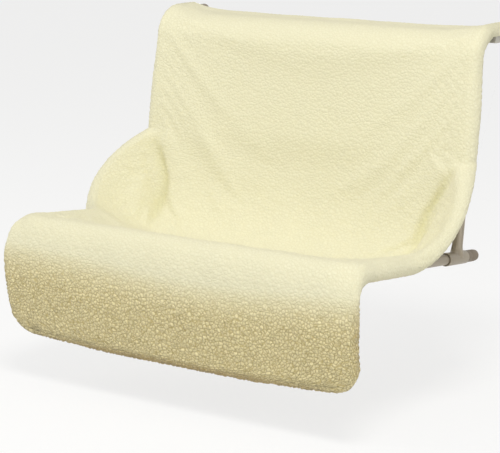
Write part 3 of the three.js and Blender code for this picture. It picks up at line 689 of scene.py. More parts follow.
# The knob's share of its radius, share of its length and depth of its dents, from the nut out and back in
KNOB_PROFILE = [(0.30, 0.0, 0), (0.50, 0.0, 0), (0.56, 0.03, 0), (0.58, 0.13, 0.1), (0.80, 0.2, 0.8),
                (0.93, 0.25, 1), (0.985, 0.33, 1), (1.0, 0.44, 1), (1.0, 0.76, 1), (0.985, 0.87, 1),
                (0.93, 0.95, 1), (0.84, 0.99, 0.9), (0.74, 1.0, 0.7), (0.62, 0.995, 0.4),
                (0.57, 0.965, 0.1), (0.54, 0.9, 0), (0.2, 0.88, 0), (0.0, 0.88, 0)]
KNOB_R, KNOB_DENT, KNOB_LOBES = 9 * MM, 1.5 * MM, 6


def knob_shape(side):
    """A lobed knob with rounded edges, a sunk face and a collar towards the nut."""
    low, high = clamp_span("clamp_knob")

    def lobes(share, lobed):
        dent = KNOB_DENT * lobed
        return lambda angle: KNOB_R * share - dent * (0.5 - 0.5 * math.cos(KNOB_LOBES * angle))

    rings = [clamp_ring(side, low + (high - low) * height, lobes(share, lobed), 96)
             for share, height, lobed in KNOB_PROFILE]
    return shape_of(rings, capped=True)


def rigid(name, shape, finish, slot, node, body="bed"):
    keep_sharp_edges(add_piece(name, *shape, [finish], slot, [node], body).data)


# Node, shape, last word of the piece's name, finish, slot and body
SIDE_PIECES = [
    ("arm", arm_shape, "steel", "paint", "frame_paint", "bed"),
    ("sleeve", sleeve_shape, "steel", "paint", "frame_paint", "bed"),
    ("weld", weld_shape, "steel", "paint", "frame_paint", "bed"),
    ("bumper", bumper_shape, "plug", "bumper", "bumper_rubber", "bed"),
    ("hook_pad", pad_shape, "saddle", "pad", "pad_rubber", "bed"),
    ("arm_collar", collar_shape, "ring", "collar", "taupe_plastic", "bed"),
    ("hook_rod", rod_shape, "steel", "zinc", "hook_steel", "hook_{}"),
    ("hook_cap", cap_shape, "dip", "vinyl", "cap_vinyl", "hook_{}"),
    ("clamp_nut", nut_shape, "hex", "zinc", "hook_steel", "bed"),
    ("clamp_screw", screw_shape, "thread", "zinc", "hook_steel", "clamp_{}"),
    ("clamp_knob", knob_shape, "lobed", "plastic", "dark_plastic", "clamp_{}"),
]


def add_frame():
    rigid("seat_frame_tube", seat_frame_shape(), "paint", "frame_paint", "seat_frame")
    for side, name in SIDE_NAMES.items():
        for node, shape, word, finish, slot, body in SIDE_PIECES:
            rigid(f"{node}_{name}_{word}", shape(side), finish, slot, f"{node}_{name}", body.format(name))


# The cover's cross rows, from the rear edge over the backrest and seat to the flap's hem

# The cloth's thickness, and the radii of its wrap on the arms, of its free edge and of the flap's edge
CLOTH, EDGE_CLOTH = 5.7 * MM, 3.6 * MM
COVER_R, EDGE_R, FLAP_R = ARM_R + 7.05 * MM, 9 * MM, 7 * MM
ARM_UNDER, SEAT_UNDER, TOP_UNDER = ARM_R + 4.5 * MM, SEAT_R + 4.5 * MM, ARM_R + 2.4 * MM
TUBE_END, FREE_END, OPEN_END = math.radians(-125), math.radians(-132), math.radians(-12)
TUBE_TAIL, FREE_TAIL, OPEN_TAIL, MOST_LAP = 19 * MM, 10 * MM, 0.2 * MM, 0.9
# Where the back's edge turns into the wing, where the wing lands on the seat's runner, how far it
# stands out, and how much deeper or shallower the edge's wrap is there
NOTCH_Z, WING_LANDING_Y, WING_OUT, WING_WEB = -140 * MM, -172 * MM, 25 * MM, -2.2 * MM
CREASE_DEPTH, WEB_DEPTH = 3.6 * MM, 7 * MM
# Shares of a row's width: the wing's crease, and the swell beside it
CREASE_WIDTH, CREASE_START, CREASE_TRAVEL, SWELL_OFFSET, SWELL_WIDTH = 0.03, 0.975, 0.205, 0.085, 0.04
# The flap's form, the drop of its roll past the bar's ends, and the droop of its hem
FLAP_CORNER_R, FLAP_TUCK, FLAP_TAPER, FLAP_BULGE, FLAP_FALL = 34 * MM, 12 * MM, 3.5 * MM, 14 * MM, 37 * MM
SHOULDER_DROP, HEM_DROOP, CORNER_LIFT = 7 * MM, 3.2 * MM, 3 * MM
# Directions and places in the plane of y and z
FRONT_2D, ARM_UP_2D = np.array(ARM_FRONT)[1:], np.array(ARM_UP)[1:]
FOOT_2D, SEAT_UP_2D = np.array(FOOT_FORWARD)[1:], np.array(SEAT_UP)[1:]
BEND_TANGENT = ARM_BEND_R * math.tan((QUARTER - LEAN) / 2)
BEND_CENTRE = np.array((ARM_CORNER_Y + BEND_TANGENT, HOOK_AXIS_Z - ARM_BEND_R))
BACK_TOP_Z = (BEND_CENTRE + FRONT_2D * ARM_BEND_R)[1]
TOP_LEVEL, TOP_THINNING, SLIM = HOOK_AXIS_Z + 3.5 * MM, 1.4 * MM, 0.24
BACK_SAG, SEAT_SAG, SEAT_LOW_AT = 10 * MM, 24 * MM, 0.52
SEAT_LOW = seat_axis(SEAT_LOW_AT * SEAT_FRONT_Y) + SEAT_UP_2D * (COVER_R / 2 - SEAT_SAG)
BAR_TOP = seat_axis(SEAT_FRONT_Y) + SEAT_UP_2D * COVER_R
FLAP_TOP = seat_axis(SEAT_FRONT_Y) + np.array((-COVER_R - FLAP_BULGE, -FLAP_FALL))


def blend(a, b, t):
    return a + (b - a) * t


def bezier(t, a, b, c, d):
    s = 1 - t
    return s ** 3 * a + 3 * s * s * t * b + 3 * s * t * t * c + t ** 3 * d


def smooth(t):
    t = np.clip(t, 0, 1)
    return t * t * (3 - 2 * t)


def ramp(value, start, length):
    """0 up to the start and 1 from a length beyond it, both in millimetres."""
    return smooth((value - start * MM) / (length * MM))


def bell(value, middle, width):
    return np.exp(-((value - middle) / width) ** 2)


def unit(vectors):
    return vectors / np.maximum(np.linalg.norm(vectors, axis=-1, keepdims=True), 1e-12)


def travelled(steps):
    return np.concatenate(([0], np.cumsum(steps)))


def evened(line, count):
    """A polyline's points, spaced evenly along it."""
    travel = travelled(np.linalg.norm(np.diff(line, axis=0), axis=1))
    wanted = np.linspace(0, travel[-1], count)
    return np.column_stack([np.interp(wanted, travel, line[:, k]) for k in range(3)])


class Row:
    """One cross line: its middle, and the axis that its side edge is folded round.

    The edge is a wrap of radius roll on top and under below, narrowed by slim and deepened by web. Free is
    1 where no tube is inside it, opened 1 where it ends beside the tube, and turn tips it round a flap's
    corner. Fold and hinge say how late the row rises, and hinge presses the wing's crease into it.
    """

    def __init__(self, axis, x, up, roll, middle, fold=0.0, free=0.0, opened=0.0, turn=0.0, under=ARM_UNDER,
                 hinge=0.0, crease=0.85, web=0.0, slim=0.0):
        self.hub, self.out = np.array((x, *axis)), np.array((math.cos(turn), 0, -math.sin(turn)))
        self.up, self.rise = np.array(up), np.array((0, *up))
        self.roll, self.middle, self.slim, self.free = roll, middle, slim, free
        self.fold, self.hinge, self.crease = fold, hinge, crease
        self.under = blend(under, roll * 0.92, free) + web
        self.tail = blend(blend(TUBE_TAIL, FREE_TAIL, free), OPEN_TAIL, opened)
        self.lap = self.found_lap()
        self.shoulder = self.spoke(QUARTER + self.lap)
        self.last = blend(blend(TUBE_END, FREE_END, free) + self.lap * 1.2 * free, OPEN_END, opened)

    def spoke(self, angle):
        """Where the wrap is at an angle: out from the axis at 0, on its crown at a quarter turn."""
        flat = self.roll * math.cos(angle) * (1 - self.slim)
        return self.hub + self.out * flat + self.rise * self.roll * math.sin(angle)

    def found_lap(self):
        """The wrap's angle past its crown at which the row meets it without a kink."""
        steepness = float((self.climb(np.array(1.0)) - self.climb(np.array(0.998))) / 0.002)
        lap = 0.2
        for _ in range(12):
            shoulder = self.spoke(QUARTER + lap)
            rise = np.dot(shoulder[1:] - self.middle, self.up)
            lap = 0.5 * lap + 0.5 * math.atan(rise * steepness / max(shoulder[0], 0.05))
        return min(max(lap, 0.0), MOST_LAP)

    def climb(self, share):
        """How far up its rise a row is, from its middle at 0 to its shoulder at 1."""
        even = blend(share ** 2, share ** 9, self.fold)
        late = np.clip((share - self.crease) / (1 - self.crease), 0, 1)
        folded = 0.2 * share ** 2 + 0.8 * (late ** 1.5 * (1.5 - 0.5 * late))
        return blend(even, folded, self.hinge)

    def inner(self, columns):
        """The row's points from its middle to its shoulder."""
        share = np.linspace(0, 1, 400)
        swell = 0.8 * bell(share, self.crease + SWELL_OFFSET, SWELL_WIDTH)
        groove = self.hinge * CREASE_DEPTH * (bell(share, self.crease, CREASE_WIDTH) - swell)
        climb = (self.shoulder[1:] - self.middle) * self.climb(share)[:, None]
        places = self.middle + climb - self.up * groove[:, None]
        return evened(np.column_stack((self.shoulder[0] * share, places)), columns)

    def creased(self, points):
        """How deep in the wing's crease the row's points are: the mask of the crease's painted shade."""
        return self.hinge * bell(points[:, 0] / self.shoulder[0], self.crease, CREASE_WIDTH)

    def edge(self, count, hub=None, out=None):
        """The cloth's path round its edge: over the tube or roll, under it, and flat against the back."""
        hub, out = (self.hub, self.out) if hub is None else (hub, out)
        angles = np.linspace(QUARTER + self.lap, self.last, 90)
        radius = blend(self.roll, self.under, smooth(-angles / QUARTER))
        sideways = (radius * np.cos(angles) * (1 - self.slim))[:, None] * out
        path = hub + sideways + (radius * np.sin(angles))[:, None] * self.rise
        onward = out * math.sin(self.last) - self.rise * math.cos(self.last)
        tail = path[-1] + onward * np.linspace(0, self.tail, 12)[1:, None]
        return evened(np.concatenate((path, tail)), count)

    def room(self):
        """The thickness of the edge's cloth: its own, or what fits between the wrap and the arm."""
        return CLOTH if self.free >= 0.5 else min(self.roll * (1 - self.slim) - ARM_R - 0.5 * MM, CLOTH)


def back_middle(t):
    sag = BACK_SAG * blend(0.7, 1, math.sin(math.pi * t))
    return arm_axis(blend(BACK_TOP_Z, NOTCH_Z, t)) + FRONT_2D * (COVER_R - sag)


def flap_reach(t):
    return blend(HALF_WIDTH + COVER_R, FLAP_HALF_WIDTH, t)


def top_row(t):
    y = blend(COVER_REAR_Y - 0.5 * MM, BEND_CENTRE[0], t)
    middle = np.array((y, TOP_LEVEL))
    return Row((y, HOOK_AXIS_Z), HALF_WIDTH, (0, 1), COVER_R - TOP_THINNING, middle, 1, opened=1, slim=SLIM)


def bend_row(t):
    start, end = np.array((BEND_CENTRE[0], TOP_LEVEL)), back_middle(0)
    corner = np.array((end[0] + (start[1] - end[1]) * math.tan(LEAN), start[1]))
    angle = blend(0, QUARTER - LEAN, t)
    up = np.array((-math.sin(angle), math.cos(angle)))
    middle = bezier(t, start, blend(start, corner, 0.55), blend(end, corner, 0.55), end)
    opened = 1 - smooth(t / 0.62)
    return Row(BEND_CENTRE + up * ARM_BEND_R, HALF_WIDTH, up, COVER_R - TOP_THINNING, middle, 1 - t,
               opened=opened, under=blend(ARM_UNDER, TOP_UNDER, opened), slim=SLIM)


def back_row(t):
    roll = COVER_R - TOP_THINNING * (1 - smooth(t * 1.2))
    axis = arm_axis(blend(BACK_TOP_Z, NOTCH_Z, t))
    return Row(axis, HALF_WIDTH, FRONT_2D, roll, back_middle(t), slim=SLIM * (1 - smooth(t / 0.5)))


def wing_row(t):
    notch, landing, start = arm_axis(NOTCH_Z), seat_axis(WING_LANDING_Y), back_middle(1)
    edge = bezier(t, notch, notch + np.array((-76, -35)) * MM, landing + np.array((28, 7)) * MM, landing)
    depth = start[1] - SEAT_LOW[1]
    middle = bezier(t, start, start - ARM_UP_2D * depth * 0.62, SEAT_LOW - FOOT_2D * depth * 0.78, SEAT_LOW)
    free = max(0.0, math.sin(math.pi * t ** 0.9))
    x = HALF_WIDTH + (WING_OUT + COVER_R - EDGE_R) * free
    hinge = smooth(free * 1.25) * (1 - 0.9 * smooth((t - 0.45) / 0.4))
    crease = CREASE_START - CREASE_TRAVEL * smooth(t / 0.43) ** 0.75
    return Row(edge, x, unit(blend(FRONT_2D, SEAT_UP_2D, t)), blend(COVER_R, EDGE_R, free), middle,
               0.8 * smooth(free * 2), min(1, free * 1.6), under=blend(ARM_UNDER, SEAT_UNDER, t),
               web=WING_WEB * free, hinge=hinge, crease=crease)


def seat_row(t):
    reach = FOOT_2D * np.linalg.norm(SEAT_LOW - BAR_TOP)
    middle = bezier(t, SEAT_LOW, SEAT_LOW + reach * 0.45, BAR_TOP - reach * 0.3, BAR_TOP)
    y = blend(WING_LANDING_Y, SEAT_FRONT_Y, t)
    free = max(0, (SEAT_FRONT_Y + SEAT_BEND_R - y) / SEAT_BEND_R)
    roll = blend(COVER_R, FLAP_R, free)
    axis = seat_axis(y) + SEAT_UP_2D * (COVER_R - roll)
    return Row(axis, flap_reach(free * 0.4) - roll, SEAT_UP_2D, roll, middle, free=min(1, free * 1.6),
               under=SEAT_UNDER, web=WEB_DEPTH * smooth(free))


def roll_line(t):
    drop = BAR_TOP - FLAP_TOP
    return bezier(t, BAR_TOP, BAR_TOP + FOOT_2D * drop[0] * 0.62, FLAP_TOP + (0, drop[1] * 0.58), FLAP_TOP)


def roll_row(t):
    surface, along = roll_line(t), roll_line(min(t + 0.01, 1)) - roll_line(max(t - 0.01, 0))
    up = unit(np.array((along[1], -along[0])))
    return Row(surface - up * FLAP_R, flap_reach(blend(0.4, 1, t)) - FLAP_R, up, FLAP_R, surface, free=1,
               web=WEB_DEPTH * (1 - smooth(t * 1.4)))


def flap_edge_row(z, inset, turn=0.0):
    """A row of the flap at a height, its edge's axis at an inset from the flap's tapered side."""
    t = (FLAP_TOP[1] - z) / (FLAP_TOP[1] - FLAP_BOTTOM_Z)
    y = FLAP_TOP[0] + FLAP_TUCK * t - FLAP_TUCK * 0.35 * math.sin(math.pi * t) * (1 - t)
    side = FLAP_HALF_WIDTH - FLAP_TAPER * t
    return Row((y + FLAP_R, z), side - inset, (-1, 0), FLAP_R, np.array((y, z)), free=1, turn=turn)


def flap_row(t):
    return flap_edge_row(blend(FLAP_TOP[1], FLAP_BOTTOM_Z + FLAP_CORNER_R, t), FLAP_R)


def corner_row(t):
    turn, reach = t * QUARTER, FLAP_CORNER_R - FLAP_R
    z = FLAP_BOTTOM_Z + FLAP_CORNER_R - reach * math.sin(turn)
    return flap_edge_row(z, FLAP_CORNER_R - reach * math.cos(turn), turn)


SECTIONS = [(top_row, 30), (bend_row, 40), (back_row, 90), (wing_row, 130), (seat_row, 130), (roll_row, 60),
            (flap_row, 50), (corner_row, 41)]
ROWS, HALF_COLUMNS, EDGE_STEPS = 289, 102, 27
COLUMNS = 2 * HALF_COLUMNS + 1
COLUMN_WIDTH, STEP_LENGTH = 2.3 * MM, 2.2 * MM
FLIP = np.array((-1, 1, 1))
EASE_PASSES, EASE_COLUMNS, NOTCH_EASE, LANDING_EASE = 26, 9, 45 * MM, 34 * MM


def between(stack, travel, wanted):
    """A stack's rows at the wanted distances along it."""
    at = np.clip(np.searchsorted(travel, wanted, side="right") - 1, 0, len(travel) - 2)
    share = ((wanted - travel[at]) / (travel[at + 1] - travel[at]))[:, None, None]
    return stack[at] * (1 - share) + stack[at + 1] * share


def mirrored(half, flip):
    return np.concatenate((half[:, :0:-1] * flip, half), axis=1)


def flat_places(across, along):
    return np.stack(np.broadcast_arrays(across, along), axis=-1)


class Sheet:
    """The cover's front face: an inner grid of rows and a folded edge round its two sides and its bottom.

    The band is the edge's points, and inner and ring are the vertex numbers of the grid and of the band.
    """

    def __init__(self):
        dense = [make(i / (count - (make is corner_row))) for make, count in SECTIONS for i in range(count)]
        inner = np.array([row.inner(HALF_COLUMNS + 1) for row in dense])
        edge = np.array([row.edge(EDGE_STEPS + 1) for row in dense])
        creased = np.array([row.creased(points) for row, points in zip(dense, inner)])[..., None]
        travel = travelled(np.linalg.norm(np.diff(inner, axis=0), axis=2).mean(axis=1))
        self.travel = np.linspace(0, travel[-1], ROWS)
        self.room = np.interp(self.travel, travel, [row.room() for row in dense])
        inner, edge, creased = (between(stack, travel, self.travel) for stack in (inner, edge, creased))
        self.creased = mirrored(creased, 1)[..., 0]
        inner, edge = eased(inner, edge)
        grid = mirrored(inner, FLIP)
        grid = grid + settled(grid)
        hem, down = dense[-1], np.array((0, 0, -1.0))
        hubs = [np.array((x, *hem.hub[1:])) for x in grid[-1, -2:0:-1, 0]]
        bottom = [hem.edge(EDGE_STEPS + 1, hub, down) for hub in hubs]
        self.grid, self.band = drooped(grid), drooped(np.concatenate((edge, bottom, edge[::-1] * FLIP)))
        self.inner = np.arange(ROWS * COLUMNS).reshape(ROWS, COLUMNS)
        border = np.concatenate((self.inner[:, -1], self.inner[-1, -2:0:-1], self.inner[::-1, 0]))
        own = self.inner.size + np.arange(len(border) * EDGE_STEPS).reshape(-1, EDGE_STEPS)
        self.ring = np.column_stack((border, own))

    def points(self):
        return np.concatenate((self.grid.reshape(-1, 3), self.band[:, 1:].reshape(-1, 3)))

    def lengths(self):
        """Each vertex's place on the flat cloth."""
        uv = np.zeros((self.inner.size + self.ring[:, 1:].size, 2))
        across = (np.arange(COLUMNS) - HALF_COLUMNS) * COLUMN_WIDTH
        steps = np.arange(1, EDGE_STEPS + 1) * STEP_LENGTH
        side, travel = across[-1] + steps, self.travel[:, None]
        uv[self.inner] = flat_places(across, travel)
        uv[self.ring[:ROWS, 1:]] = flat_places(side, travel)
        uv[self.ring[-ROWS:, 1:]] = flat_places(-side, travel[::-1])
        uv[self.ring[ROWS:-ROWS, 1:]] = flat_places(across[-2:0:-1, None], self.travel[-1] + steps)
        return uv


def eased(inner, edge):
    """The rows' kinks softened: across the back at the wings' notch, and round the edge at the landing."""
    columns = inner.shape[1]
    both = np.concatenate((inner, edge[:, 1:]), axis=1)
    from_edge = smooth((columns - 1 - np.arange(both.shape[1])) / EASE_COLUMNS)
    y, z = inner[:, 0, 1], inner[:, 0, 2]
    notch = smooth(1 - np.abs(z - NOTCH_Z) / NOTCH_EASE) * (y > SEAT_FRONT_Y / 2)
    y, z = edge[:, 0, 1], edge[:, 0, 2]
    landing = smooth(1 - np.abs(y - WING_LANDING_Y) / LANDING_EASE) * (z < FOOT_Z / 2)
    weight = (notch[:, None] * from_edge + landing[:, None])[1:-1, :, None]
    for _ in range(EASE_PASSES):
        both[1:-1] += weight * ((both[:-2] + both[2:]) / 4 - both[1:-1] / 2)
    return both[:, :columns], both[:, columns - 1:]


def vertex_normals(points, quads):
    a, b, c, d = (points[quads[:, k]] for k in range(4))
    flat = np.cross(c - a, d - b)
    total = np.zeros_like(points)
    for k in range(4):
        np.add.at(total, quads[:, k], flat)
    return unit(total)


def grid_quads(numbers):
    corners = numbers[:-1, :-1], numbers[1:, :-1], numbers[1:, 1:], numbers[:-1, 1:]
    return np.stack(corners, axis=-1).reshape(-1, 4)


def drooped(points):
    """The flap's hem hanging lower at its middle, and the roll's ends sloping past the bar's corners."""
    across, y, z = np.abs(points[..., 0]), points[..., 1], points[..., 2]
    low = ramp(FLAP_TOP[1] - z, 0, 95) * (y < SEAT_FRONT_Y)
    drop = HEM_DROOP * (1 - ramp(across, 90, 85)) - CORNER_LIFT * ramp(across, 165, 70)
    past_side = np.maximum(across - HALF_WIDTH + SEAT_BEND_R, 0)
    past_front = np.maximum(SEAT_FRONT_Y + SEAT_BEND_R - y, 0)
    beyond = np.hypot(past_side, past_front) - SEAT_BEND_R
    shoulder = ramp(beyond, 7, 22) * ramp(across, 200, 36) * ramp(past_front, 0, 40)
    slope = SHOULDER_DROP * shoulder * ramp(z - FLAP_TOP[1], 0, 32)
    return points - np.stack((0 * low, 0 * low, low * drop + slope), axis=-1)


def every_third(numbers):
    return numbers[::3, ::3]


# The cover settling on its frame

SETTLE_FRAMES, BACK_LIMIT, SETTLE_LIMIT, RIPPLE = 24, 1.2 * MM, 6 * MM, 0.5 * MM
BAR_HOLD, FLAP_HOLD, BAR_START, BAR_FADE = 0.9, 0.97, 6 * MM, 22 * MM
SLACK = {"vertex_group_mass": "held", "quality": 5, "mass": 0.05, "tension_stiffness": 20,
         "compression_stiffness": 20, "shear_stiffness": 8, "bending_stiffness": 0.4, "tension_damping": 12,
         "compression_damping": 12, "air_damping": 3, "shrink_min": -0.01, "shrink_max": -0.01}


def held_share(grid):
    """How firmly the frame holds each point: fully at the edges and on the front bar, well on the flap."""
    rows, columns = grid.shape[:2]
    from_side = np.minimum(np.arange(columns), np.arange(columns)[::-1])
    held = np.tile(np.clip(1 - (from_side - 1) / 4, 0, 1), (rows, 1))
    behind_bar = grid[:, :, 1] - (SEAT_FRONT_Y + BAR_START)
    held = np.maximum(held, np.clip(1 - behind_bar / BAR_FADE, 0, 1) * BAR_HOLD)
    held = np.maximum(held, np.where(behind_bar < 0, FLAP_HOLD, 0.0))
    held[:2] = held[-2:] = 1
    return held


def settled(grid):
    """How far the points move as the cloth, cut a little full, settles under its own weight."""
    coarse = every_third(grid)
    x, z = coarse[..., 0], coarse[..., 2]
    ripple = RIPPLE * np.sin(x * 61 + z * 43) * np.sin(x * 23 + 1.1)
    start = (coarse + np.stack((ripple * 0, -ripple, ripple), axis=-1)).reshape(-1, 3)
    numbers = np.arange(len(start)).reshape(coarse.shape[:2])
    mesh = mesh_of("slack_cover", start, [], grid_quads(numbers))
    slack = linked("slack_cover", mesh)
    held = slack.vertex_groups.new(name="held")
    for number, share in enumerate(held_share(coarse).ravel()):
        held.add([number], float(share), "REPLACE")
    cloth = slack.modifiers.new("cloth", "CLOTH")
    for name, value in SLACK.items():
        setattr(cloth.settings, name, value)
    cloth.collision_settings.use_collision = False
    cloth.point_cache.frame_end = SETTLE_FRAMES
    scene = bpy.context.scene
    for number in range(1, SETTLE_FRAMES + 1):
        scene.frame_set(number)
    bpy.ops.object.select_all(action="DESELECT")
    bpy.context.view_layer.objects.active = slack
    slack.select_set(True)
    bpy.ops.object.modifier_apply(modifier="cloth")
    ended = np.empty(coarse.size)
    mesh.vertices.foreach_get("co", ended)
    scene.frame_set(1)
    bpy.data.objects.remove(slack)
    move = ended.reshape(coarse.shape) - coarse
    length = np.linalg.norm(move, axis=2, keepdims=True)
    limit = blend(BACK_LIMIT, SETTLE_LIMIT, ramp(NOTCH_Z - z, -15, 45))[..., None]
    move = move / np.maximum(length, 1e-9) * limit * np.tanh(length / limit)
    return finer(finer(move, 0, grid.shape[0]), 1, grid.shape[1])


def finer(coarse, axis, count):
    """Values between every third row or column, on smooth curves through the known ones."""
    lined = np.moveaxis(coarse, axis, 0)
    place = np.arange(count) / 3
    at = np.minimum(place.astype(int), len(lined) - 2)
    t = (place - at).reshape(-1, *([1] * (lined.ndim - 1)))
    before, after = lined[np.maximum(at - 1, 0)], lined[np.minimum(at + 2, len(lined) - 1)]
    near, far = lined[at], lined[at + 1]
    bend = 2 * before - 5 * near + 4 * far - after + t * (3 * (near - far) + after - before)
    return np.moveaxis(near + t * 0.5 * ((far - before) + t * bend), 0, axis)


# The cover's pile, back and rim

CURL_SPACING, CURL_WARP, CURL_SEED, CURL_TABLE, CURL_HASH = 5.8 * MM, 0.22, 11, 8192, (73856093, 19349663)
CLOSE_LIFT, OPEN_LIFT, EDGE_LIFT, RIM_BULGE = 0.35 * MM, 1.3 * MM, 0.45 * MM, 1.1 * MM
# Where the pile opens on the flap, which is also where the flap's painted shade falls
OPEN_FROM_Z, OPEN_OVER, OPEN_DIP = -240 * MM, 54 * MM, 12 * MM


def curl_field(uv):
    """Packed round lumps over the flat cloth: 1 on a lump's crown and 0 in the creases between lumps."""
    table = np.random.default_rng(CURL_SEED).random((CURL_TABLE, 2))
    u, v = uv.T
    warp = np.column_stack((np.sin(v * 310 + 1.3) + np.sin(u * 190 + v * 120),
                            np.sin(u * 270) + np.sin(v * 170 - u * 90 + 2)))
    place = uv / CURL_SPACING + warp * CURL_WARP
    cell = np.floor(place).astype(np.int64)
    best = np.full(len(uv), 9.0)
    second = best
    for dx in (-1, 0, 1):
        for dy in (-1, 0, 1):
            near = cell + (dx, dy)
            code = (near[:, 0] * CURL_HASH[0]) ^ (near[:, 1] * CURL_HASH[1])
            far = np.linalg.norm(place - near - table[code % CURL_TABLE], axis=1)
            second = np.where(far < best, best, np.minimum(second, far))
            best = np.minimum(best, far)
    return smooth((second - best) * 1.6)


def nap_at(points):
    """How far the pile stands open: fully on the hanging flap, little elsewhere. In the fleece's colour it
    is also the mask of the flap's painted shade.
    """
    x, y, z = points.T
    opening = np.clip((OPEN_FROM_Z - z - OPEN_DIP * bell(x, 40 * MM, 140 * MM)) / OPEN_OVER, 0, 1)
    return smooth(opening ** 0.65) * ramp(-y, 285, 25)


def rim_at(points):
    """The browner light of the flap's turned-under edges, bottom most of all."""
    x, y, z = np.abs(points[:, 0]), points[:, 1], points[:, 2]
    low = ramp(FLAP_BOTTOM_Z - z, -9, 11)
    side = ramp(x - FLAP_HALF_WIDTH, -9, 12) * nap_at(points)
    seat = ramp(seat_axis(y)[1] - z, 4, 8) * ramp(-y, 130, 30) * ramp(y, -300, 14)
    return np.clip(0.75 * low + 0.35 * side + 0.3 * seat * (x > HALF_WIDTH - 20 * MM), 0, 1)


def rim_of(inner, ring, step=0):
    """Vertex numbers round the sheet's rim, or a step in from it."""
    last = -1 - step
    return np.concatenate((ring[step, :-1], ring[:-1, last], ring[last, :0:-1], inner[step, :-1]))


def lay_cover():
    """The cover with its pile in front, its back at a third of the detail, and a round rim between them."""
    sheet = Sheet()
    points, inner, ring = sheet.points(), sheet.inner, sheet.ring
    quads = np.concatenate((grid_quads(inner), grid_quads(ring)))
    normals = vertex_normals(points, quads)
    along = np.linspace(0, 1, EDGE_STEPS + 1)
    room = np.concatenate((sheet.room, np.full(COLUMNS - 2, CLOTH), sheet.room[::-1]))
    thickness = np.full(len(points), CLOTH)
    thickness[ring] = np.minimum(blend(CLOTH, EDGE_CLOTH, smooth(along * 1.25)), room[:, None])
    back = points - normals * thickness[:, None]
    lengths = sheet.lengths()
    lift = blend(CLOSE_LIFT, OPEN_LIFT, nap_at(points))
    lift[ring[:, 1:]] += EDGE_LIFT * smooth(along[1:] * 5)
    front = points + normals * ((curl_field(lengths) - 0.6) * lift)[:, None]

    inner_back, ring_back = every_third(inner), every_third(ring)
    used = np.unique(np.concatenate((inner_back.ravel(), ring_back.ravel())))
    behind = np.zeros(len(points), int)
    behind[used] = len(points) + np.arange(len(used))
    inner_back, ring_back = behind[inner_back], behind[ring_back]

    rim_front, rim_back = rim_of(inner, ring), rim_of(inner_back, ring_back)
    middle = (front[rim_front] + back[rim_front]) / 2
    middle += unit(middle - points[rim_of(inner, ring, 1)]) * RIM_BULGE
    rim = len(points) + len(used) + np.arange(len(rim_front))
    back_quads = np.concatenate((grid_quads(inner_back), grid_quads(ring_back)))[:, ::-1]
    rim_quads = list(zip(np.roll(rim_front, -1), rim_front, rim, np.roll(rim, -1)))
    rim_triangles = []
    for k, (a, b) in enumerate(zip(rim_back, np.roll(rim_back, -1))):
        r = rim[(3 * k + np.arange(4)) % len(rim)]
        rim_triangles += [(r[1], r[0], a), (r[2], r[1], a), (r[2], a, b), (r[3], r[2], b)]

    parts = (quads, back_quads, rim_quads, rim_triangles)
    face_finish = np.repeat((0, 1, 0, 1), [len(part) for part in parts])
    every = np.concatenate((front, back[used], middle))
    creased = np.zeros(len(every))
    creased[inner] = sheet.creased
    casings = [f"{part}_casing_{side}" for part in ("back", "seat") for side in ("left", "right")]
    faces = [face for part in parts for face in part]
    # Shade values for the fleece: how open the pile is with the flap's painted shade, painted brown shade
    # on edges that face down, and painted shade in the wing's crease
    cover = add_piece("sherpa_cover", every, faces, ["fleece", "backing"], "fleece",
                      ["fleece_cover", *casings], face_finish=face_finish,
                      uv=np.concatenate((lengths, lengths[used], lengths[rim_front])),
                      shades={"nap_and_shade": nap_at(every), "rim": rim_at(every), "crease": creased})
    return cover, sheet


# Hems, tunnel and stitches

TUNNEL_WIDTH, TUNNEL_CLOTH, TUNNEL_LIFT = 360 * MM, 3.8 * MM, 2.5 * MM
TUNNEL_START, TUNNEL_END, TUNNEL_ROWS = math.radians(-12.5), math.radians(-188), 25
PUCKER, PUCKER_PITCH, HEM_RIPPLE, HEM_RIPPLE_PITCH = 0.28 * MM, 9 * MM, 0.25 * MM, 11 * MM
TAPE, SEAM_LIFT = 1.7 * MM, 0.9 * MM
FLAP_HEM_WIDTH, FLAP_HEM_ROWS, FLAP_HEM_LIFT = 397 * MM, 19, 1.35 * MM
REAR_HEM_HALF_WIDTH, REAR_HEM_START_Y, REAR_HEM_DEPTH = 201 * MM, 15 * MM, 7.1 * MM
STITCHES = {"Stitch pitch": 4.6 * MM, "Stitch length": 3.4 * MM, "Thread width": 0.9 * MM}


def strip(name, grid, thickness, node, key, cut):
    """A closed band of cloth about a grid of points, thinner at its long edges. Returns its two faces."""
    rows, columns = grid.shape[:2]
    numbers = np.arange(rows * columns).reshape(rows, columns)
    normals = vertex_normals(grid.reshape(-1, 3), grid_quads(numbers))
    round_off = np.sqrt(1 - 0.8 * np.abs(np.linspace(-1, 1, rows)) ** 6)[:, None, None]
    half = normals.reshape(grid.shape) * round_off * thickness / 2
    every = np.concatenate(((grid + half).reshape(-1, 3), (grid - half).reshape(-1, 3)))
    under = rows * columns
    faces = [tuple(q) for q in grid_quads(numbers)] + [tuple(q[::-1]) for q in grid_quads(numbers + under)]
    rim = np.concatenate((numbers[0, :-1], numbers[:-1, -1], numbers[-1, :0:-1], numbers[:0:-1, 0]))
    faces += [(b, a, a + under, b + under) for a, b in zip(rim, np.roll(rim, -1))]
    uv = flat_places(np.linspace(0, cut[0], columns), np.linspace(0, cut[1], rows)[:, None]).reshape(-1, 2)
    made = add_piece(name, every, outward_faces(every, faces), [key], "lining", [node],
                     uv=np.concatenate((uv, uv)))
    return grid + half, grid - half


def line_length(points):
    return float(np.linalg.norm(np.diff(points, axis=0), axis=1).sum())


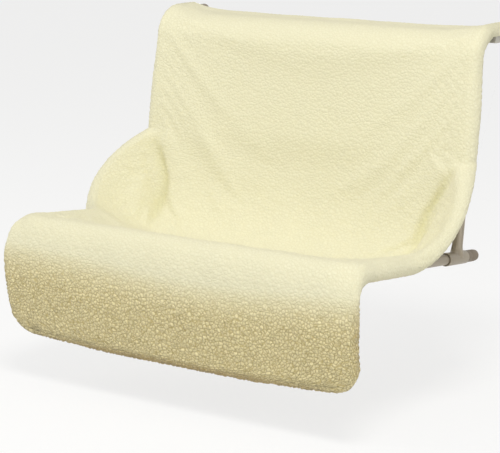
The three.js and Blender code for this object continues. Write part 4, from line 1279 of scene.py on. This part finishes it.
def add_tunnel():
    """The strip that closes the front bar's tunnel, puckered at its two seams. Returns the seams' lines."""
    x = np.linspace(-TUNNEL_WIDTH / 2, TUNNEL_WIDTH / 2, 181)
    angles = np.linspace(TUNNEL_START, TUNNEL_END, TUNNEL_ROWS)[:, None]
    rows = np.arange(TUNNEL_ROWS)
    near_seam = np.exp(-np.minimum(rows, rows[::-1]) / 2.5)[:, None]
    reach = SEAT_R + TUNNEL_LIFT
    ring = reach + PUCKER * np.cos(x * FULL_TURN / PUCKER_PITCH) * near_seam
    spokes = FOOT_2D * np.cos(angles) + SEAT_UP_2D * np.sin(angles)
    grid = np.empty((TUNNEL_ROWS, len(x), 3))
    grid[..., 0] = x
    grid[..., 1:] = seat_axis(SEAT_FRONT_Y) + ring[..., None] * spokes[:, None]
    cut = (TUNNEL_WIDTH, reach * (TUNNEL_START - TUNNEL_END))
    outer, _ = strip("bar_tunnel", grid[::-1], TUNNEL_CLOTH, "front_tunnel", "backing", cut)
    return [outer[3], outer[-4]]


def add_rear_hem(sheet):
    """The tape under the cover's rear edge, between the arms. Returns its seams' lines."""
    rows = np.nonzero(sheet.grid[:, HALF_COLUMNS, 1] > REAR_HEM_START_Y)[0]
    columns = np.nonzero(np.abs(sheet.grid[0, :, 0]) < REAR_HEM_HALF_WIDTH)[0]
    normals = vertex_normals(sheet.grid.reshape(-1, 3), grid_quads(sheet.inner)).reshape(sheet.grid.shape)
    grid = (sheet.grid - normals * REAR_HEM_DEPTH)[np.ix_(rows, columns)]
    cut = (line_length(grid[0]), line_length(grid[:, 0]))
    hem = strip("rear_hem", grid, TAPE, "top_hem", "tape", cut)[1]
    return [hem[1], hem[-2]]


def add_flap_hem(sheet):
    """The tape behind the flap's turned-up lower edge. Returns its seams' lines."""
    fold = sheet.band[ROWS + (COLUMNS - 2) // 2]
    turned_up = fold[fold[:, 2] > FLAP_BOTTOM_Z + 4 * MM]
    turned_up = turned_up[turned_up[:, 1] > turned_up[:, 1].max() - 9 * MM]
    path = turned_up[int(np.argmax(turned_up[:, 1])):, 1:]
    last = path[-1] + (-0.2 * MM, 2.5 * MM)
    path = np.concatenate((path, [last, last + (-0.1 * MM, 5 * MM), last + (-0.2 * MM, 9 * MM)]))
    path = evened(np.column_stack((np.zeros(len(path)), path)), FLAP_HEM_ROWS)
    step = np.gradient(path, axis=0)
    path = path + unit(np.column_stack((np.zeros(len(path)), step[:, 2], -step[:, 1]))) * FLAP_HEM_LIFT
    x = np.linspace(-FLAP_HEM_WIDTH / 2, FLAP_HEM_WIDTH / 2, 199)
    ripple = HEM_RIPPLE * np.sin(x * FULL_TURN / HEM_RIPPLE_PITCH)
    grid = np.repeat(path[:, None, :], len(x), axis=1)
    grid[:, :, 0] = x
    grid[:, :, 1] += ripple * np.sin(np.linspace(0, math.pi, FLAP_HEM_ROWS))[:, None]
    cut = (FLAP_HEM_WIDTH, line_length(path))
    hem = strip("flap_binding", grid, TAPE, "flap_hem", "tape", cut)[0]
    return [hem[2], hem[-3]]


def seam_lines(sheet):
    """Where the cover's folded edges are sewn down behind the arms and under the seat's sides."""
    lines = []
    y, z = sheet.band[:ROWS, 0, 1], sheet.band[:ROWS, 0, 2]
    back = (NOTCH_Z < z) & (z < BACK_TOP_Z) & (y < 0)
    seat = (SEAT_FRONT_Y + SEAT_BEND_R < y) & (y < WING_LANDING_Y) & (z > FLAP_TOP[1])
    for rows in (back, seat):
        tail = sheet.band[:ROWS][rows]
        outwards = unit(np.cross(tail[:, -2] - tail[:, -6], np.gradient(tail[:, -4], axis=0)))
        line = tail[:, -4] + outwards * SEAM_LIFT
        lines += [line, line * FLIP]
    return lines


def stitch_tree():
    """Stitches along every edge line: a thread lump at each pitch, turned along the line."""
    tree = bpy.data.node_groups.new("stitch_rows", "GeometryNodeTree")
    kinds = {"Geometry": "Geometry", **dict.fromkeys(STITCHES, "Float"), "Thread": "Material"}
    sockets = {}
    for label, kind in kinds.items():
        made = tree.interface.new_socket(label, in_out="INPUT", socket_type=f"NodeSocket{kind}")
        sockets[label] = made.identifier
    tree.interface.new_socket("Geometry", in_out="OUTPUT", socket_type="NodeSocketGeometry")
    net = Net(tree)
    given = {label: net.node("NodeGroupInput", output=label) for label in kinds}
    curve = net.node("GeometryNodeMeshToCurve", None, {"Mesh": given["Geometry"]})
    spaced = net.node("GeometryNodeResampleCurve", {"mode": "LENGTH"},
                      {"Curve": curve, "Length": given["Stitch pitch"]})
    lump = net.node("GeometryNodeMeshUVSphere", None, {"Segments": 6, "Rings": 5, "Radius": 0.5})
    size = net.node("ShaderNodeCombineXYZ", None,
                    (given["Thread width"], given["Thread width"], given["Stitch length"]))
    shaped = net.node("GeometryNodeTransform", None, {"Geometry": lump, "Scale": size})
    tangent = net.node("GeometryNodeInputTangent")
    turn = net.node("FunctionNodeAlignRotationToVector", {"axis": "Z"}, {"Vector": tangent})
    placed = net.node("GeometryNodeInstanceOnPoints", None,
                      {"Points": spaced, "Instance": shaped, "Rotation": turn})
    real = net.node("GeometryNodeRealizeInstances", None, {"Geometry": placed})
    finished = net.node("GeometryNodeSetMaterial", None, {"Geometry": real, "Material": given["Thread"]})
    net.node("NodeGroupOutput", None, [finished])
    return tree, sockets


def add_stitches(lines):
    points, edges = [], []
    for line in lines:
        start = len(points)
        points += list(line)
        edges += [(start + k, start + k + 1) for k in range(len(line) - 1)]
    seams = linked("seam_lines", mesh_of("seam_lines", points, edges, []))
    rows = seams.modifiers.new("stitches", "NODES")
    rows.node_group, sockets = stitch_tree()
    for label, value in {**STITCHES, "Thread": FINISHES["thread"]}.items():
        rows[sockets[label]] = value
    ready = seams.evaluated_get(bpy.context.evaluated_depsgraph_get())
    stitched = bpy.data.meshes.new_from_object(ready)
    seams.modifiers.clear()
    bpy.data.objects.remove(seams)
    shade_smooth(stitched)
    made = linked("hem_stitches", stitched)
    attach(made, "bed")


# Floor, background and light

FLOOR_DROP, FLOOR_HALF_WIDTH, FLOOR_GLOW = 60 * MM, 6, 0.75
WORLD_COLOUR, WORLD_STRENGTH, WHITE = (1.0, 0.985, 0.96, 1), 0.45, (1, 1, 1, 1)
BED_MIDDLE = (0, -0.12, -0.15)

# Name, place, target, size, watts and colour
LAMPS = [
    ("key", (0.75, -1.2, 1.93), BED_MIDDLE, 0.9, 35, (1.0, 0.99, 0.96)),
    ("fill", (-1.6, -1.2, 0.9), BED_MIDDLE, 1.2, 10, (1, 1, 1)),
    ("side", (1.75, -0.55, -0.1), (0.1, -0.15, -0.2), 0.9, 4.2, (1, 1, 1)),
]


def add_floor():
    """A pale paper floor that the camera sees nearly white, with the shadow in it."""
    z, half = FLAP_BOTTOM_Z - FLOOR_DROP, FLOOR_HALF_WIDTH
    corners = [(-half, -half, z), (half, -half, z), (half, half, z), (-half, half, z)]
    mesh = mesh_of("studio_floor", corners, [], [(0, 1, 2, 3)])
    paper = Finish("floor_paper", Roughness=0.9, Specular_IOR_Level=0.1)
    mottle = paper.mixed(paper.noise(3), (0.86, 0.86, 0.85), (0.88, 0.88, 0.87))
    mesh.materials.append(paper.finish(Base_Color=mottle))
    shades = Wire(paper, paper.shader.outputs[0]), paper.node("ShaderNodeEmission")
    choice = paper.node("ShaderNodeMixShader", None, (paper.seen_directly() * FLOOR_GLOW, *shades))
    paper.connect(paper.tree.nodes["Material Output"].inputs["Surface"], choice)
    linked("studio_floor", mesh)


def add_world():
    """A dim warm glow on the object, and plain white for the camera and mirrors."""
    world = bpy.data.worlds.new("studio")
    bpy.context.scene.world = world
    world.use_nodes = True
    net = Net(world.node_tree)
    glow = net.tree.nodes["Background"]
    net.connect(glow.inputs["Color"], WORLD_COLOUR)
    net.connect(glow.inputs["Strength"], WORLD_STRENGTH)
    white = net.node("ShaderNodeBackground", None, {"Color": WHITE, "Strength": 1.0})
    choice = net.node("ShaderNodeMixShader", None, (net.seen_directly(), Wire(net, glow.outputs[0]), white))
    net.connect(net.tree.nodes["World Output"].inputs["Surface"], choice)


def add_lamps():
    for name, place, target, size, watts, colour in LAMPS:
        data = bpy.data.lights.new(name, "AREA")
        data.shape, data.size, data.energy, data.color = "DISK", size, watts, colour
        aim = (Vector(target) - Vector(place)).to_track_quat("-Z", "Y").to_matrix().to_4x4()
        linked(name, data).matrix_world = Matrix.Translation(place) @ aim


bpy.context.scene.view_settings.view_transform = "Standard"
add_camera()
add_floor()
add_world()
add_lamps()
add_frame()
COVER, SHEET = lay_cover()
add_stitches(add_tunnel() + add_rear_hem(SHEET) + add_flap_hem(SHEET) + seam_lines(SHEET))
